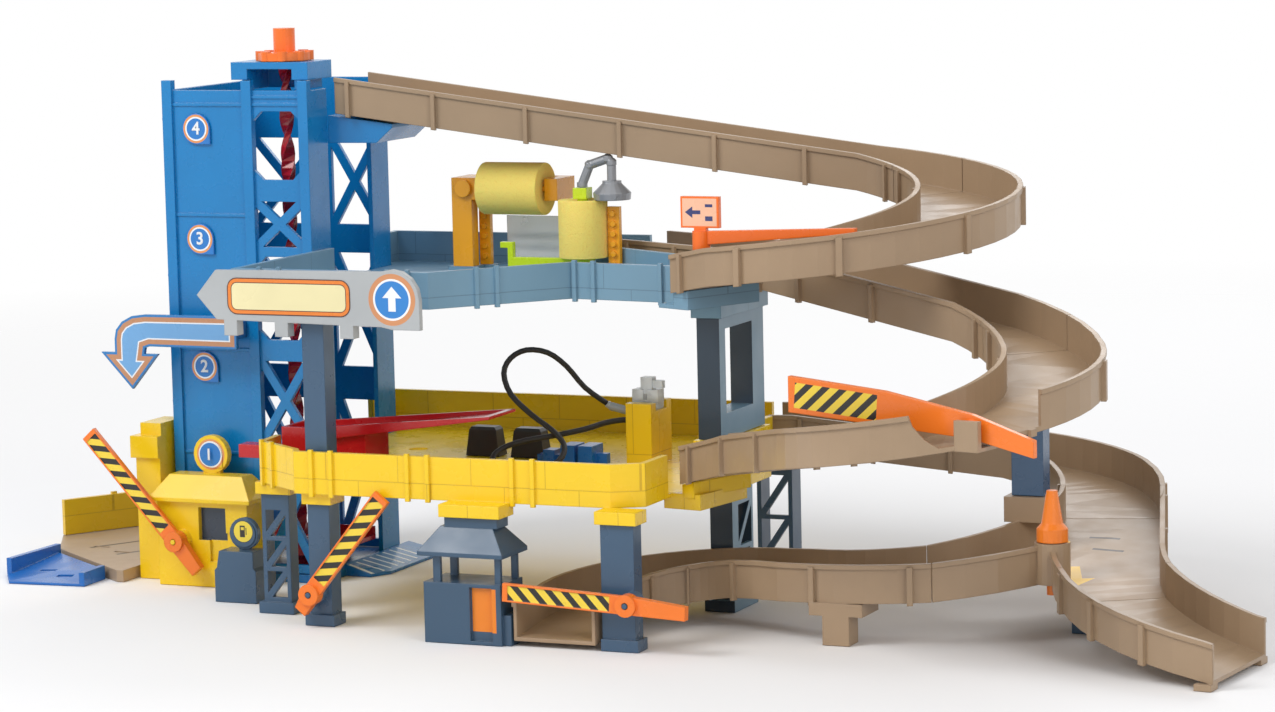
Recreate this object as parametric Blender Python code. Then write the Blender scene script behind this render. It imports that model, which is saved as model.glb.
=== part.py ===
"""Toy parking garage: a lift tower with two decks, three downhill tracks, barriers, gates and a car wash.

Metres, +Z up, +X along the front to the right, +Y to the back. The garage stands on z = 0 and its
origin is the middle of the tower's underside.
"""

import math

import bmesh
import bpy
from mathutils import Matrix, Vector

# General clearances and fineness
CLEAR = 0.0003
FUSE = 0.0004
OVERRUN = 0.006
WELD = 0.000005
BEND_STEP = math.radians(8)
ROUND_SIDES = 20
SMALL_SIDES = 12

# Colours as red, green, blue
BLUE = (0.02, 0.18, 0.55)
BASE_BLUE = (0.02, 0.16, 0.62)
YELLOW = (0.85, 0.6, 0.02)
STEEL_BLUE = (0.22, 0.36, 0.48)
SLATE = (0.1, 0.15, 0.22)
PALE_BLUE = (0.2, 0.34, 0.46)
TAN = (0.4, 0.3, 0.22)
ORANGE = (0.85, 0.2, 0.02)
RED = (0.5, 0.01, 0.02)
GREY = (0.45, 0.48, 0.5)
LIME = (0.5, 0.75, 0.02)
SPONGE = (0.85, 0.7, 0.25)
AMBER = (0.85, 0.4, 0.05)
BLACK = (0.02, 0.02, 0.02)
CLEAR_PLASTIC = (0.7, 0.72, 0.75)

# Tower
TOWER_LEFT = 0.0015
TOWER_WIDTH = 0.0828
TOWER_DEPTH = 0.085
TOWER_TOP = 0.2485
TOWER_WALL = 0.0025
TOWER_POST = 0.0055
TOWER_POST_PROUD = 0.0016
TOWER_POST_ABOVE = 0.005
TOWER_BASE_TALL = 0.004
TOWER_BASE_OUT = 0.002
LATTICE_BAR = 0.0045
LIFT_DOOR_NEAR = 0.019
LIFT_DOOR_FAR = 0.066
LIFT_DOOR_TALL = 0.060
PANEL_WIDTH = 0.0455
PANEL_LINE_TALL = 0.0016
PANEL_LINE_PROUD = 0.0006
PEG_RADIUS = 0.0022
PEG_LONG = 0.004

# Head of the tower with the screw's bearing
HEAD_LEFT = 0.041
HEAD_DEEP = 0.0255
HEAD_TOP = 0.2626
HEAD_WALL = 0.0035
GUARD_THICK = 0.002

# Lift
SCREW_X = 0.0645
SCREW_Y = 0.0135
SCREW_WIDE = 0.0066
SCREW_THICK = 0.0032
SCREW_LEAD = 0.052
SCREW_BORE = 0.0084
SCREW_STEP = 0.0036
PLATFORM_Z = 0.012
PLATFORM_THICK = 0.0022
PLATFORM_RAIL = 0.0045
PLATFORM_RAIL_WALL = 0.0016
PLATFORM_SIDE_GAP = 0.0011
PLATFORM_NUT_RADIUS = 0.0065
PLATFORM_NUT_TALL = 0.008
KNOB_FLANGE_RADIUS = 0.01335
KNOB_FLANGE_TALL = 0.0042
KNOB_POST_RADIUS = 0.0055
KNOB_TOP = 0.279
KNOB_LOBES = 8
KNOB_LOBE_RADIUS = 0.0026

# Tracks
TRACK_TALL = 0.018
TRACK_WALL = 0.0016
TRACK_FLOOR = 0.0018
RIM_OUT = 0.0009
RIM_TALL = 0.0022
RIB_OUT = 0.0021
RIB_WIDE = 0.0022
RIB_BELOW = 0.0009
STRAIGHT_STEP = 0.045

# Track 1, from the tower's top to deck 3
TRACK_1_X = 0.0875
TRACK_1_Y = 0.0412
TRACK_1_HEADING = 0.11
TRACK_1_HALF = 0.0245
TRACK_1_STRAIGHT = 0.268
TRACK_1_RADIUS = 0.062
TRACK_1_SWEEP = 3.683
TRACK_1_LAST = 0.024
TRACK_1_TOP = 0.254
TRACK_1_BEND_TOP = 0.216
TRACK_1_OUT_TOP = 0.181
TRACK_1_END_TOP = 0.1765

# Track 2, from deck 3 to deck 2
TRACK_2_X = 0.223
TRACK_2_Y = 0.085
TRACK_2_HEADING = -0.46
TRACK_2_HALF = 0.0223
TRACK_2_LEVEL = 0.115
TRACK_2_SLOPE_SHARE = 0.133
TRACK_2_WIDE_RADIUS = 0.101
TRACK_2_WIDE_SWEEP = 0.68
TRACK_2_RADIUS = 0.0526
TRACK_2_SWEEP = 2.87
TRACK_2_LAST = 0.076
TRACK_2_ENTRY_RADIUS = 0.070
TRACK_2_ENTRY_SWEEP = 0.70
TRACK_2_BEND_TOP = 0.1557
TRACK_2_OUT_TOP = 0.1097
TRACK_2_END_TOP = 0.0885

# Track 3, from deck 2 to the ground
TRACK_3_X = 0.2955
TRACK_3_Y = 0.089
TRACK_3_HEADING = 0.22
TRACK_3_HALF = 0.024
TRACK_3_LEVEL = 0.012
TRACK_3_STRAIGHT = 0.116
TRACK_3_RADIUS = 0.053
TRACK_3_SWEEP = 1.13
TRACK_3_WIDE_RADIUS = 0.0925
TRACK_3_BEND_TOP = 0.0714
TRACK_3_END_HEADING = 1.309
SPLIT_TOP = 0.0569

# Left branch of track 3
LEFT_TOP = 0.0393
LEFT_LOW_TOP = 0.0355
LEFT_END_TOP = 0.0205
LEFT_HALF = 0.0205
LEFT_FORK_SWEEP = 1.4518
LEFT_SWEEP = 0.80
LEFT_STRAIGHT = 0.016
LEFT_RADIUS = 0.050
LEFT_BACK_SWEEP = 1.9897
LEFT_LAST = 0.034

# Right branch of track 3
EXIT_END_TOP = 0.0205
EXIT_HALF = 0.0325
EXIT_MIDDLE_HALF = 0.0255
EXIT_STRAIGHT = 0.0917
EXIT_RADIUS = 0.086
EXIT_FORK_SWEEP = 0.30
EXIT_LAST = 0.004
EXIT_END_HEADING = 0.10
EXIT_FOOT_WIDE = 0.006
EXIT_FOOT_LONG = 0.008

# Deck 3
DECK_3_LEFT = 0.0846
DECK_3_FRONT = -0.085
DECK_3_BACK = 0.109
DECK_3_RIGHT = 0.300
DECK_3_REAR_LEFT = 0.075
DECK_3_UNDER = 0.151
DECK_3_FLOOR = 0.0018
DECK_3_TOP = 0.1685
DECK_WALL = 0.003

# Deck 2
DECK_2_LEFT = 0.088
DECK_2_FRONT = -0.105
DECK_2_BACK = 0.112
DECK_2_RIGHT = 0.304
DECK_2_REAR_LEFT = 0.067
DECK_2_UNDER = 0.064
DECK_2_FLOOR = 0.0018
DECK_2_TOP = 0.0842
SOCKET_DEEP = 0.0055
SOCKET_OUT = 0.002
DECK_RIB_WIDE = 0.0022
DECK_RIB_OUT = 0.0014
DECK_RIB_PAIR = 0.0105
DECK_RIB_ABOVE = 0.0012

# Columns
COLUMN_X = 0.130
COLUMN_WIDE = 0.0115
COLUMN_FRONT = -0.100
COLUMN_DEEP = 0.010
CORNER_X = 0.2892
CORNER_WIDE = 0.0165
CORNER_FRONT = -0.116
CORNER_DEEP = 0.009
SLIM_X = 0.093
SLIM_WIDE = 0.015
SLIM_FRONT = -0.078
SLIM_DEEP = 0.008
REAR_X = 0.285
REAR_WIDE = 0.019
REAR_FRONT = 0.088
REAR_DEEP = 0.012
PORTAL_X = 0.300
PORTAL_WIDE = 0.0115
PORTAL_FRONT = -0.0225
PORTAL_BACK = 0.034
PORTAL_BAR = 0.0075
PORTAL_PLINTH = 0.012
PORTAL_HEAD = 0.0055
PORTAL_BLOCK_TALL = 0.0082
PORTAL_FOOT_FRONT = -0.0105
PORTAL_FOOT_DEEP = 0.0265
COLUMN_SKIN = 0.0022

# Support under track 2, its seat on track 3, and the low supports
PROP_X = 0.4535
PROP_Y = 0.0125
PROP_WIDE = 0.0155
PROP_DEEP = 0.010
PROP_SEAT_TALL = 0.008
PROP_SEAT_LIP = 0.003
PROP_ARM_TALL = 0.006
STUB_X = 0.493
STUB_Y = -0.008
STUB_WIDE = 0.022
STUB_DEEP = 0.018
LEG_X = 0.388
LEG_Y = -0.076
LEG_WIDE = 0.013
LEG_DEEP = 0.012

# Big direction sign on deck 3
SIGN_LEFT = 0.077
SIGN_RIGHT = 0.182
SIGN_LOW = 0.1447
SIGN_HIGH = 0.1707
SIGN_THICK = 0.003
SIGN_CLIP_WIDE = 0.007
SIGN_CLIP_DROP = 0.006
SIGN_BADGE_X = 0.1810
SIGN_BADGE_RADIUS = 0.0142

# Curved arrow sign on the tower
ARROW_LEFT = -0.0305
ARROW_RIGHT = 0.048
ARROW_LOW = 0.098
ARROW_HIGH = 0.1365
ARROW_THICK = 0.0022
ARROW_AWAY = 0.0125

# Level badges on the tower
BADGE_RADIUS = 0.0078
BADGE_X = 0.0205
BADGE_THICK = 0.0011
BADGE_4_Z = 0.2292
BADGE_3_Z = 0.1735
BADGE_2_Z = 0.1085

# Yellow booth of the ground level
BOOTH_LEFT = 0.004
BOOTH_WIDE = 0.0515
BOOTH_FRONT = -0.0255
BOOTH_TALL = 0.0435
BOOTH_EAVE = 0.003
BOOTH_ROOF_TALL = 0.0125
BOOTH_SIGN_RADIUS = 0.0098
BOOTH_SIGN_Z = 0.0655
BOOTH_SIGN_THICK = 0.004
BOOTH_WINDOW_DEEP = 0.003
BOOTH_ANNEX_WIDE = 0.014
BOOTH_ANNEX_TALL = 0.080

# Ground plates left of the tower
PLATE_LEFT = -0.105
PLATE_RIGHT = -0.001
PLATE_FRONT = -0.026
PLATE_BACK = 0.112
PLATE_TALL = 0.006
CURB_WALL = 0.003
CURB_TALL = 0.019
RAMP_LEFT = -0.086
RAMP_RIGHT = -0.030
RAMP_FRONT = -0.0460
RAMP_BACK = 0.0195
RAMP_TALL = 0.0050
RAMP_CHEEK = 0.0042
RAMP_CHEEK_WALL = 0.003

# Base ramp right of the tower
BASE_RAMP_RIGHT = 0.105
BASE_RAMP_FRONT = 0.0225
BASE_RAMP_BACK = 0.095
BASE_RAMP_TALL = 0.006

# Small fuel pump
PUMP_LEFT = 0.0555
PUMP_WIDE = 0.023
PUMP_FRONT = -0.060
PUMP_DEEP = 0.013
PUMP_TALL = 0.0255
PUMP_SIGN_RADIUS = 0.0068
PUMP_SIGN_THICK = 0.003

# Gas booth under deck 2
GAS_LEFT = 0.2015
GAS_WIDE = 0.0435
GAS_FRONT = -0.122
GAS_DEEP = 0.024
GAS_WALL = 0.002
GAS_BODY_TALL = 0.041
GAS_ROOF_TALL = 0.013
GAS_SILL = 0.0285

# Car wash on deck 3
WASH_X = 0.137
WASH_Y = 0.0545
WASH_POST_WIDE = 0.011
WASH_POST_DEEP = 0.007
WASH_ARM_LOW = 0.1905
WASH_ARM_HIGH = 0.2015
WASH_ARM_THICK = 0.0035
ROLLER_X = 0.171
ROLLER_Z = 0.1962
ROLLER_RADIUS = 0.0134
ROLLER_LONG = 0.034
ROLLER_BORE = 0.0022
BRUSH_X = 0.2164
BRUSH_Y = 0.0355
BRUSH_RADIUS = 0.0125
BRUSH_LOW = 0.164
BRUSH_HIGH = 0.193
LEVER_REACH = 0.0395
LEVER_TALL = 0.003
LEVER_RISE = 0.0075
WASH_BOSS_SHARE = 0.62
CAP_WIDE_SHARE = 1.3
PIPE_COLLAR_SHARE = 1.15
PIPE_RING_SHARE = 1.1
SHOWER_FACE_SHARE = 0.96
SHOWER_RIM_SHARE = 0.6
STUD_START_SHARE = 1.6
STUD_OFFSET_SHARE = 0.3
FERRULE_SHARE = 1.25
BARRIER_PANEL_SHARE = 1.6
GATE_PIN_SHARE = 0.6
GATE_BORE_SHARE = 0.66
GATE_TAPER_SHARE = 2.6
GATE_FOOT_SHARE = 1.4
TRACK_INNER_SHARE = 1.5
BADGE_ARC_SHARE = 1.5
SHAFT_RADIUS = 0.0028
CAP_TALL = 0.0055
PIPE_RADIUS = 0.0023
STUD_WIDE = 0.0062
STUD_THICK = 0.003
STUD_RADIUS = 0.0015
STUD_COUNT = 6
STUD_LEFT_X = 0.1495
STUD_RIGHT_X = 0.2325
STUD_Y = 0.064
STUD_LEFT_HIGH = 0.1900
STUD_RIGHT_Y = 0.0375
STUD_RIGHT_HIGH = 0.1895
SCREEN_LEFT = 0.158
SCREEN_RIGHT = 0.2075
SCREEN_Y = 0.071
SCREEN_HIGH = 0.181
SCREEN_THICK = 0.001
DECK_SEAT_TALL = 0.004

# Service items on deck 2
TYRES_1_X = 0.168
TYRES_2_X = 0.1925
TYRES_Y = 0.019
TYRES_WIDE = 0.018
TYRES_DEEP = 0.010
TYRES_TALL = 0.0145
ENGINE_X = 0.2235
ENGINE_Y = 0.002
ENGINE_LONG = 0.037
ENGINE_DEEP = 0.014
ENGINE_TALL = 0.010
PILLAR_X = 0.2500
PILLAR_Y = 0.0055
PILLAR_WIDE = 0.0135
PILLAR_DEEP = 0.025
PILLAR_TALL = 0.0305
PILLAR_NOTCH = 0.004
MOTOR_TALL = 0.0155
NOZZLE_LONG = 0.0125
NOZZLE_RADIUS = 0.0021
HOSE_RADIUS = 0.0014
HOSE_LEFT = 0.1918
HOSE_FRONT = -0.029
HOSE_BACK = 0.018
HOSE_LOW = 0.0675
HOSE_HIGH = 0.1221
TIP_RAMP_LEFT = 0.1145
TIP_RAMP_RIGHT = 0.211
TIP_RAMP_Y = -0.052
TIP_RAMP_WIDE = 0.030
TIP_RAMP_WALL = 0.0014
TIP_RAMP_RIM = 0.004
TIP_RAMP_LIFT = 0.0095
TIP_TRAY_RISE = 0.0105
TIP_RAMP_SLOPE_SHARE = 0.115
TIP_BLOCK_LEFT = 0.0995
TIP_BLOCK_WIDE = 0.044
TIP_BLOCK_LIFT = 0.0012
TIP_PIN_X = 0.109
TIP_PIN_RADIUS = 0.0018
TAB_LEFT = 0.0695
TAB_TALL = 0.0065
TAB_WIDE = 0.009

# Barriers
BARRIER_THICK = 0.0026
BARRIER_HIGH = 0.0085
BARRIER_HUB = 0.0052
BARRIER_HUB_THICK = 0.0058
BARRIER_BORE = 0.0016
BARRIER_PIN = 0.0013
BARRIER_RIM = 0.0009
LEFT_BARRIER_X = 0.018
LEFT_BARRIER_Y = -0.0325
LEFT_BARRIER_Z = 0.0238
LEFT_BARRIER_LONG = 0.0715
LEFT_BARRIER_TAIL = 0.019
LEFT_BARRIER_ANGLE = 2.305
FRONT_BARRIER_X = 0.1348
FRONT_BARRIER_Y = -0.1086
FRONT_BARRIER_Z = 0.0165
FRONT_BARRIER_LONG = 0.0625
FRONT_BARRIER_TAIL = 0.010
FRONT_BARRIER_ANGLE = 0.885
EXIT_BARRIER_X = 0.3055
EXIT_BARRIER_Y = -0.1245
EXIT_BARRIER_Z = 0.0232
EXIT_BARRIER_LONG = 0.062
EXIT_BARRIER_TAIL = 0.029
EXIT_BARRIER_ANGLE = 3.093

# Gates over the tracks
GATE_THICK = 0.003
GATE_HUB = 0.0042
GATE_PIN = 0.0013
GATE_BORE = 0.0017
GATE_1_LONG = 0.078
GATE_1_BACK = 0.015
GATE_1_ANGLE = -0.06
GATE_1_HUB_TALL = 0.0235
GATE_1_RISE = 0.003
GATE_SEAT_TALL = 0.001
GATE_PLATE_WIDE = 0.019
GATE_PLATE_TALL = 0.0145
GATE_1_TALL = 0.0065
GATE_2_LONG = 0.092
GATE_2_X = 0.483
GATE_2_Y = -0.158
GATE_2_Z = 0.115
GATE_2_ANGLE = 2.946
GATE_2_LOW = 0.0105
GATE_2_FOOT = 0.012
GATE_2_TALL = 0.018
GATE_2_TAIL = 0.030

# Cone between the two branches
CONE_RADIUS = 0.0072
CONE_NECK = 0.0025
CONE_TALL = 0.0235
CONE_BASE_TALL = 0.006
CONE_STEM = 0.0028
CONE_CUP_RADIUS = 0.0082
CONE_CUP_TALL = 0.019


# Modelling helpers


def clear_scene():
    for item in list(bpy.data.objects):
        bpy.data.objects.remove(item)


def plastic(name, colour, roughness=0.4, alpha=1.0):
    look = bpy.data.materials.new(name)
    look.use_nodes = True
    shader = look.node_tree.nodes["Principled BSDF"]
    shader.inputs["Base Color"].default_value = (*colour, 1.0)
    shader.inputs["Roughness"].default_value = roughness
    shader.inputs["Metallic"].default_value = 0
    shader.inputs["Alpha"].default_value = alpha
    return look


def solid(points, faces):
    """A closed body with its faces turned out."""
    mesh = bpy.data.meshes.new("shape")
    mesh.from_pydata([tuple(point) for point in points], [], faces)
    shape = bmesh.new()
    shape.from_mesh(mesh)
    bmesh.ops.recalc_face_normals(shape, faces=shape.faces)
    shape.to_mesh(mesh)
    shape.free()
    item = bpy.data.objects.new("shape", mesh)
    bpy.context.scene.collection.objects.link(item)
    return item


def loft(rings):
    """A body through closed rings of equally many points, with flat ends."""
    count = len(rings[0])
    points = [point for ring in rings for point in ring]
    faces = []
    for step in range(len(rings) - 1):
        low = step * count
        high = low + count
        for side in range(count):
            after = (side + 1) % count
            faces.append((low + side, low + after, high + after, high + side))
    faces.append(tuple(reversed(range(count))))
    faces.append(tuple(range(len(points) - count, len(points))))
    return solid(points, faces)


def triangulated(item):
    shape = bmesh.new()
    shape.from_mesh(item.data)
    bmesh.ops.triangulate(shape, faces=shape.faces)
    shape.to_mesh(item.data)
    shape.free()
    return item


def place(axis, first, second, along):
    """A point from its two places across an axis and its place along it."""
    if axis == "x":
        return (along, first, second)
    if axis == "y":
        return (first, along, second)
    return (first, second, along)


def prism(outline, low, high, axis="z"):
    """An outline pushed along an axis: (x, y) along z, (x, z) along y, (y, z) along x."""
    rings = []
    for along in (low, high):
        rings.append([place(axis, first, second, along) for first, second in outline])
    return loft(rings)


def block(x_low, x_high, y_low, y_high, z_low, z_high):
    return prism(rectangle(x_low, x_high, y_low, y_high), z_low, z_high)


def rectangle(left, right, low, high):
    return [(left, low), (right, low), (right, high), (left, high)]


def circle(first, second, radius, sides=ROUND_SIDES):
    outline = []
    for side in range(sides):
        angle = 2 * math.pi * side / sides
        outline.append((first + radius * math.cos(angle), second + radius * math.sin(angle)))
    return outline


def rod(first, second, radius, low, high, axis="z", sides=ROUND_SIDES):
    return prism(circle(first, second, radius, sides), low, high, axis)


def turned(profile, first, second, axis="z", sides=ROUND_SIDES):
    """A body of revolution from (radius, place) pairs along an axis."""
    rings = []
    for radius, along in profile:
        outline = circle(first, second, radius, sides)
        rings.append([place(axis, one, two, along) for one, two in outline])
    return loft(rings)


def bar(start, end, radius, sides=SMALL_SIDES):
    """A round bar between two points in any direction."""
    start = Vector(start)
    end = Vector(end)
    turn = (end - start).to_track_quat("Z", "Y")
    rings = []
    for point in (start, end):
        ring = []
        for one, two in circle(0, 0, radius, sides):
            ring.append(point + turn @ Vector((one, two, 0)))
        rings.append(ring)
    return loft(rings)


def spread(shares, left, right, low, high):
    """Points given as shares of a rectangle's sides."""
    return [(left + (right - left) * one, low + (high - low) * two) for one, two in shares]


def between(low, high, share):
    return low + (high - low) * share


def combine(base, tools, operation):
    """Join or cut the base with the tools, which are used up."""
    if not tools:
        return base
    group = bpy.data.collections.new("tools")
    bpy.context.scene.collection.children.link(group)
    for tool in tools:
        bpy.context.scene.collection.objects.unlink(tool)
        group.objects.link(tool)
    change = base.modifiers.new("combine", "BOOLEAN")
    change.operation = operation
    change.solver = "EXACT"
    change.operand_type = "COLLECTION"
    change.collection = group
    bpy.context.view_layer.update()
    graph = bpy.context.evaluated_depsgraph_get()
    mesh = bpy.data.meshes.new_from_object(base.evaluated_get(graph))
    base.modifiers.remove(change)
    base.data = welded(mesh)
    for tool in tools:
        bpy.data.objects.remove(tool)
    bpy.data.collections.remove(group)
    return base


def welded(mesh):
    """The mesh with the corners that lie on each other made one."""
    shape = bmesh.new()
    shape.from_mesh(mesh)
    bmesh.ops.remove_doubles(shape, verts=shape.verts, dist=WELD)
    bmesh.ops.dissolve_degenerate(shape, edges=shape.edges, dist=WELD)
    shape.to_mesh(mesh)
    shape.free()
    return mesh


def joined(bodies, cuts=()):
    """One body out of several that run into each other, less the cuts."""
    base = bodies[0]
    combine(base, list(bodies[1:]), "UNION")
    combine(base, list(cuts), "DIFFERENCE")
    return base


def finish(name, item, look, pivot=None, smooth=True):
    """Name a piece, give it its material and put its origin on its joint's axis."""
    item.name = name
    item.data.name = name
    item.data.materials.clear()
    item.data.materials.append(look)
    if smooth:
        item.data.shade_smooth()
        item.data.set_sharp_from_angle(angle=math.radians(35))
    if pivot is not None:
        item.data.transform(Matrix.Translation(-Vector(pivot)))
        item.location = pivot
    return item


def ribbon(points, width, low, high):
    """An upright strip along a line of points, its width laid to the left of the line."""
    count = len(points)
    inner = []
    for place_now in range(count):
        here = Vector(points[place_now])
        before = Vector(points[max(place_now - 1, 0)])
        after = Vector(points[min(place_now + 1, count - 1)])
        arriving = here - before if place_now else after - here
        leaving = after - here if place_now < count - 1 else arriving
        arriving.normalize()
        leaving.normalize()
        side_in = Vector((-arriving.y, arriving.x))
        side_out = Vector((-leaving.y, leaving.x))
        middle = (side_in + side_out).normalized()
        inner.append(here + middle * width / middle.dot(side_in))
    rings = []
    for outer_point, inner_point in zip(points, inner):
        rings.append(
            [
                (outer_point[0], outer_point[1], low),
                (inner_point[0], inner_point[1], low),
                (inner_point[0], inner_point[1], high),
                (outer_point[0], outer_point[1], high),
            ]
        )
    return loft(rings)


def rib_on(start, end, share, wide, out, low, high):
    """A rib on the right side of the line from start to end, at a share of its length."""
    begin = Vector(start)
    run = Vector(end) - begin
    ahead = run.normalized()
    right = Vector((ahead.y, -ahead.x))
    middle = begin + run * share
    corners = []
    for along, across in ((-wide, -FUSE), (wide, -FUSE), (wide, out), (-wide, out)):
        corners.append(middle + ahead * (along / 2) + right * across)
    return prism([(corner.x, corner.y) for corner in corners], low, high)


# Tracks


def walk(x, y, heading, runs):
    """Stations (x, y, heading, distance) along straight runs and bends.

    Each run is its length and the angle that it turns, positive to the left.
    """
    stations = [(x, y, heading, 0)]
    for length, turn in runs:
        steps = max(1, math.ceil(abs(turn) / BEND_STEP), math.ceil(length / STRAIGHT_STEP))
        for _ in range(steps):
            x, y, heading, gone = stations[-1]
            stride = length / steps
            swing = turn / steps
            chord = stride
            if turn:
                chord = 2 * stride / swing * math.sin(swing / 2)
            x += chord * math.cos(heading + swing / 2)
            y += chord * math.sin(heading + swing / 2)
            stations.append((x, y, heading + swing, gone + stride))
    return stations


def bend(radius, turn):
    return (radius * abs(turn), turn)


def height_at(marks, distance):
    """The height at a distance, from (distance, height) marks."""
    for (near, low), (far, high) in zip(marks, marks[1:]):
        if distance <= far:
            return between(low, high, (distance - near) / (far - near))
    return marks[-1][1]


def station_at(stations, distance):
    for before, after in zip(stations, stations[1:]):
        if distance <= after[3] + CLEAR:
            share = (distance - before[3]) / (after[3] - before[3])
            return tuple(between(one, two, share) for one, two in zip(before, after))
    return stations[-1]


def section(station, top, outline):
    """An outline of (left of the centre line, above the wall's top) pairs at a station."""
    x, y, heading, _ = station
    side_x = -math.sin(heading)
    side_y = math.cos(heading)
    return [(x + out * side_x, y + out * side_y, top + up) for out, up in outline]


def sweep(stations, marks, outline_of, half):
    """A body along the stations; half is the track's half width or (distance, half width) marks."""
    rings = []
    for station in stations:
        outline = outline_of(half_at(half, station[3]))
        rings.append(section(station, height_at(marks, station[3]), outline))
    return triangulated(loft(rings))


def half_at(half, distance):
    return height_at(half, distance) if isinstance(half, list) else half


def channel_outline(half):
    """A trough with two walls, each with a rim that stands out."""
    inner = half - TRACK_WALL
    rim = half + RIM_OUT
    floor = TRACK_FLOOR - TRACK_TALL
    return [
        (-half, -TRACK_TALL),
        (half, -TRACK_TALL),
        (half, -RIM_TALL),
        (rim, -RIM_TALL),
        (rim, 0),
        (inner, 0),
        (inner, floor),
        (-inner, floor),
        (-inner, 0),
        (-rim, 0),
        (-rim, -RIM_TALL),
        (-half, -RIM_TALL),
    ]


def full_outline(half):
    """The trough's outer shape."""
    rim = half + RIM_OUT
    return [
        (-half, -TRACK_TALL),
        (half, -TRACK_TALL),
        (half, -RIM_TALL),
        (rim, -RIM_TALL),
        (rim, 0),
        (-rim, 0),
        (-rim, -RIM_TALL),
        (-half, -RIM_TALL),
    ]


def hollow_outline(half):
    """The space between the trough's walls."""
    inner = half - TRACK_WALL
    return rectangle(-inner, inner, TRACK_FLOOR - TRACK_TALL, OVERRUN)


def track_rib(stations, marks, distance, half, side):
    """An upright rib outside one wall, side 1 for the left wall and -1 for the right."""
    near = station_at(stations, distance)
    far = station_at(stations, distance + RIB_WIDE)
    low = -TRACK_TALL - RIB_BELOW
    wall = half_at(half, distance)
    inner = side * (wall - FUSE)
    outer = side * (wall + RIB_OUT)
    outline = rectangle(min(inner, outer), max(inner, outer), low, -RIM_TALL / 2)
    rings = []
    for station in (near, far):
        rings.append(section(station, height_at(marks, station[3]), outline))
    return loft(rings)


def ribs_along(stations, marks, half, shares):
    """Ribs on both walls at shares of the track's length."""
    start = stations[0][3]
    length = stations[-1][3] - start
    ribs = []
    for share in shares:
        for side in (1, -1):
            ribs.append(track_rib(stations, marks, start + length * share, half, side))
    return ribs


def cut_line(stations, from_distance, to_distance):
    """The stations between two distances, with one at each end."""
    picked = [station_at(stations, from_distance)]
    for station in stations:
        if from_distance + CLEAR < station[3] < to_distance - CLEAR:
            picked.append(station)
    picked.append(station_at(stations, to_distance))
    return picked


def channel(stations, marks, half, shares):
    return joined([sweep(stations, marks, channel_outline, half)] + ribs_along(stations, marks, half, shares))


TRACK_1_OUT_SHARES = (0.02, 0.17, 0.33, 0.49, 0.65, 0.80, 0.97)
TRACK_1_BACK_SHARES = (0.03, 0.23, 0.45, 0.66, 0.82, 0.96)
TRACK_1_SPLIT_SHARE = 0.58


def track_1_line():
    runs = [
        (TRACK_1_STRAIGHT, 0),
        bend(TRACK_1_RADIUS, -TRACK_1_SWEEP),
        (TRACK_1_LAST, 0),
    ]
    stations = walk(TRACK_1_X, TRACK_1_Y, TRACK_1_HEADING, runs)
    length = stations[-1][3]
    marks = [
        (0, TRACK_1_TOP),
        (TRACK_1_STRAIGHT, TRACK_1_BEND_TOP),
        (length - TRACK_1_LAST, TRACK_1_OUT_TOP),
        (length, TRACK_1_END_TOP),
    ]
    return stations, marks


def make_track_1(look):
    stations, marks = track_1_line()
    length = stations[-1][3]
    seam = length * TRACK_1_SPLIT_SHARE
    out = cut_line(stations, 0, seam)
    back = cut_line(stations, seam + CLEAR, length)
    finish("track_1_upper", channel(out, marks, TRACK_1_HALF, TRACK_1_OUT_SHARES), look)
    lower = channel(back, marks, TRACK_1_HALF, TRACK_1_BACK_SHARES)
    combine(lower, gate_1_seat(), "UNION")
    finish("track_1_lower", lower, look)


TRACK_2_OUT_SHARES = (0.07, 0.20, 0.42, 0.52, 0.70, 0.97)
TRACK_2_BACK_SHARES = (0.03, 0.17, 0.30, 0.68, 0.84, 0.97)
TRACK_2_SPLIT_SHARE = 0.47


def track_2_line():
    runs = [
        (TRACK_2_LEVEL, 0),
        (TRACK_2_SLOPE_SHARE, 0),
        bend(TRACK_2_WIDE_RADIUS, -TRACK_2_WIDE_SWEEP),
        bend(TRACK_2_RADIUS, -TRACK_2_SWEEP),
        (TRACK_2_LAST, 0),
        bend(TRACK_2_ENTRY_RADIUS, TRACK_2_ENTRY_SWEEP),
    ]
    stations = walk(TRACK_2_X, TRACK_2_Y, TRACK_2_HEADING, runs)
    length = stations[-1][3]
    start_top = DECK_3_UNDER + DECK_3_FLOOR + CLEAR + TRACK_TALL
    marks = [
        (0, start_top),
        (TRACK_2_LEVEL, start_top),
        (TRACK_2_LEVEL + TRACK_2_SLOPE_SHARE, TRACK_2_BEND_TOP),
        (length - TRACK_2_LAST - TRACK_2_ENTRY_RADIUS * TRACK_2_ENTRY_SWEEP, TRACK_2_OUT_TOP),
        (length, TRACK_2_END_TOP),
    ]
    return stations, marks


def make_track_2(look):
    stations, marks = track_2_line()
    length = stations[-1][3]
    seam = length * TRACK_2_SPLIT_SHARE
    out = cut_line(stations, 0, seam)
    back = cut_line(stations, seam + CLEAR, length)
    finish("track_2_upper", channel(out, marks, TRACK_2_HALF, TRACK_2_OUT_SHARES), look)
    lower = channel(back, marks, TRACK_2_HALF, TRACK_2_BACK_SHARES)
    combine(lower, [gate_2_opening()], "DIFFERENCE")
    combine(lower, gate_2_bracket(), "UNION")
    finish("track_2_lower", lower, look)


TRACK_3_SHARES = (0.07, 0.24, 0.42, 0.62, 0.97)


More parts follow.
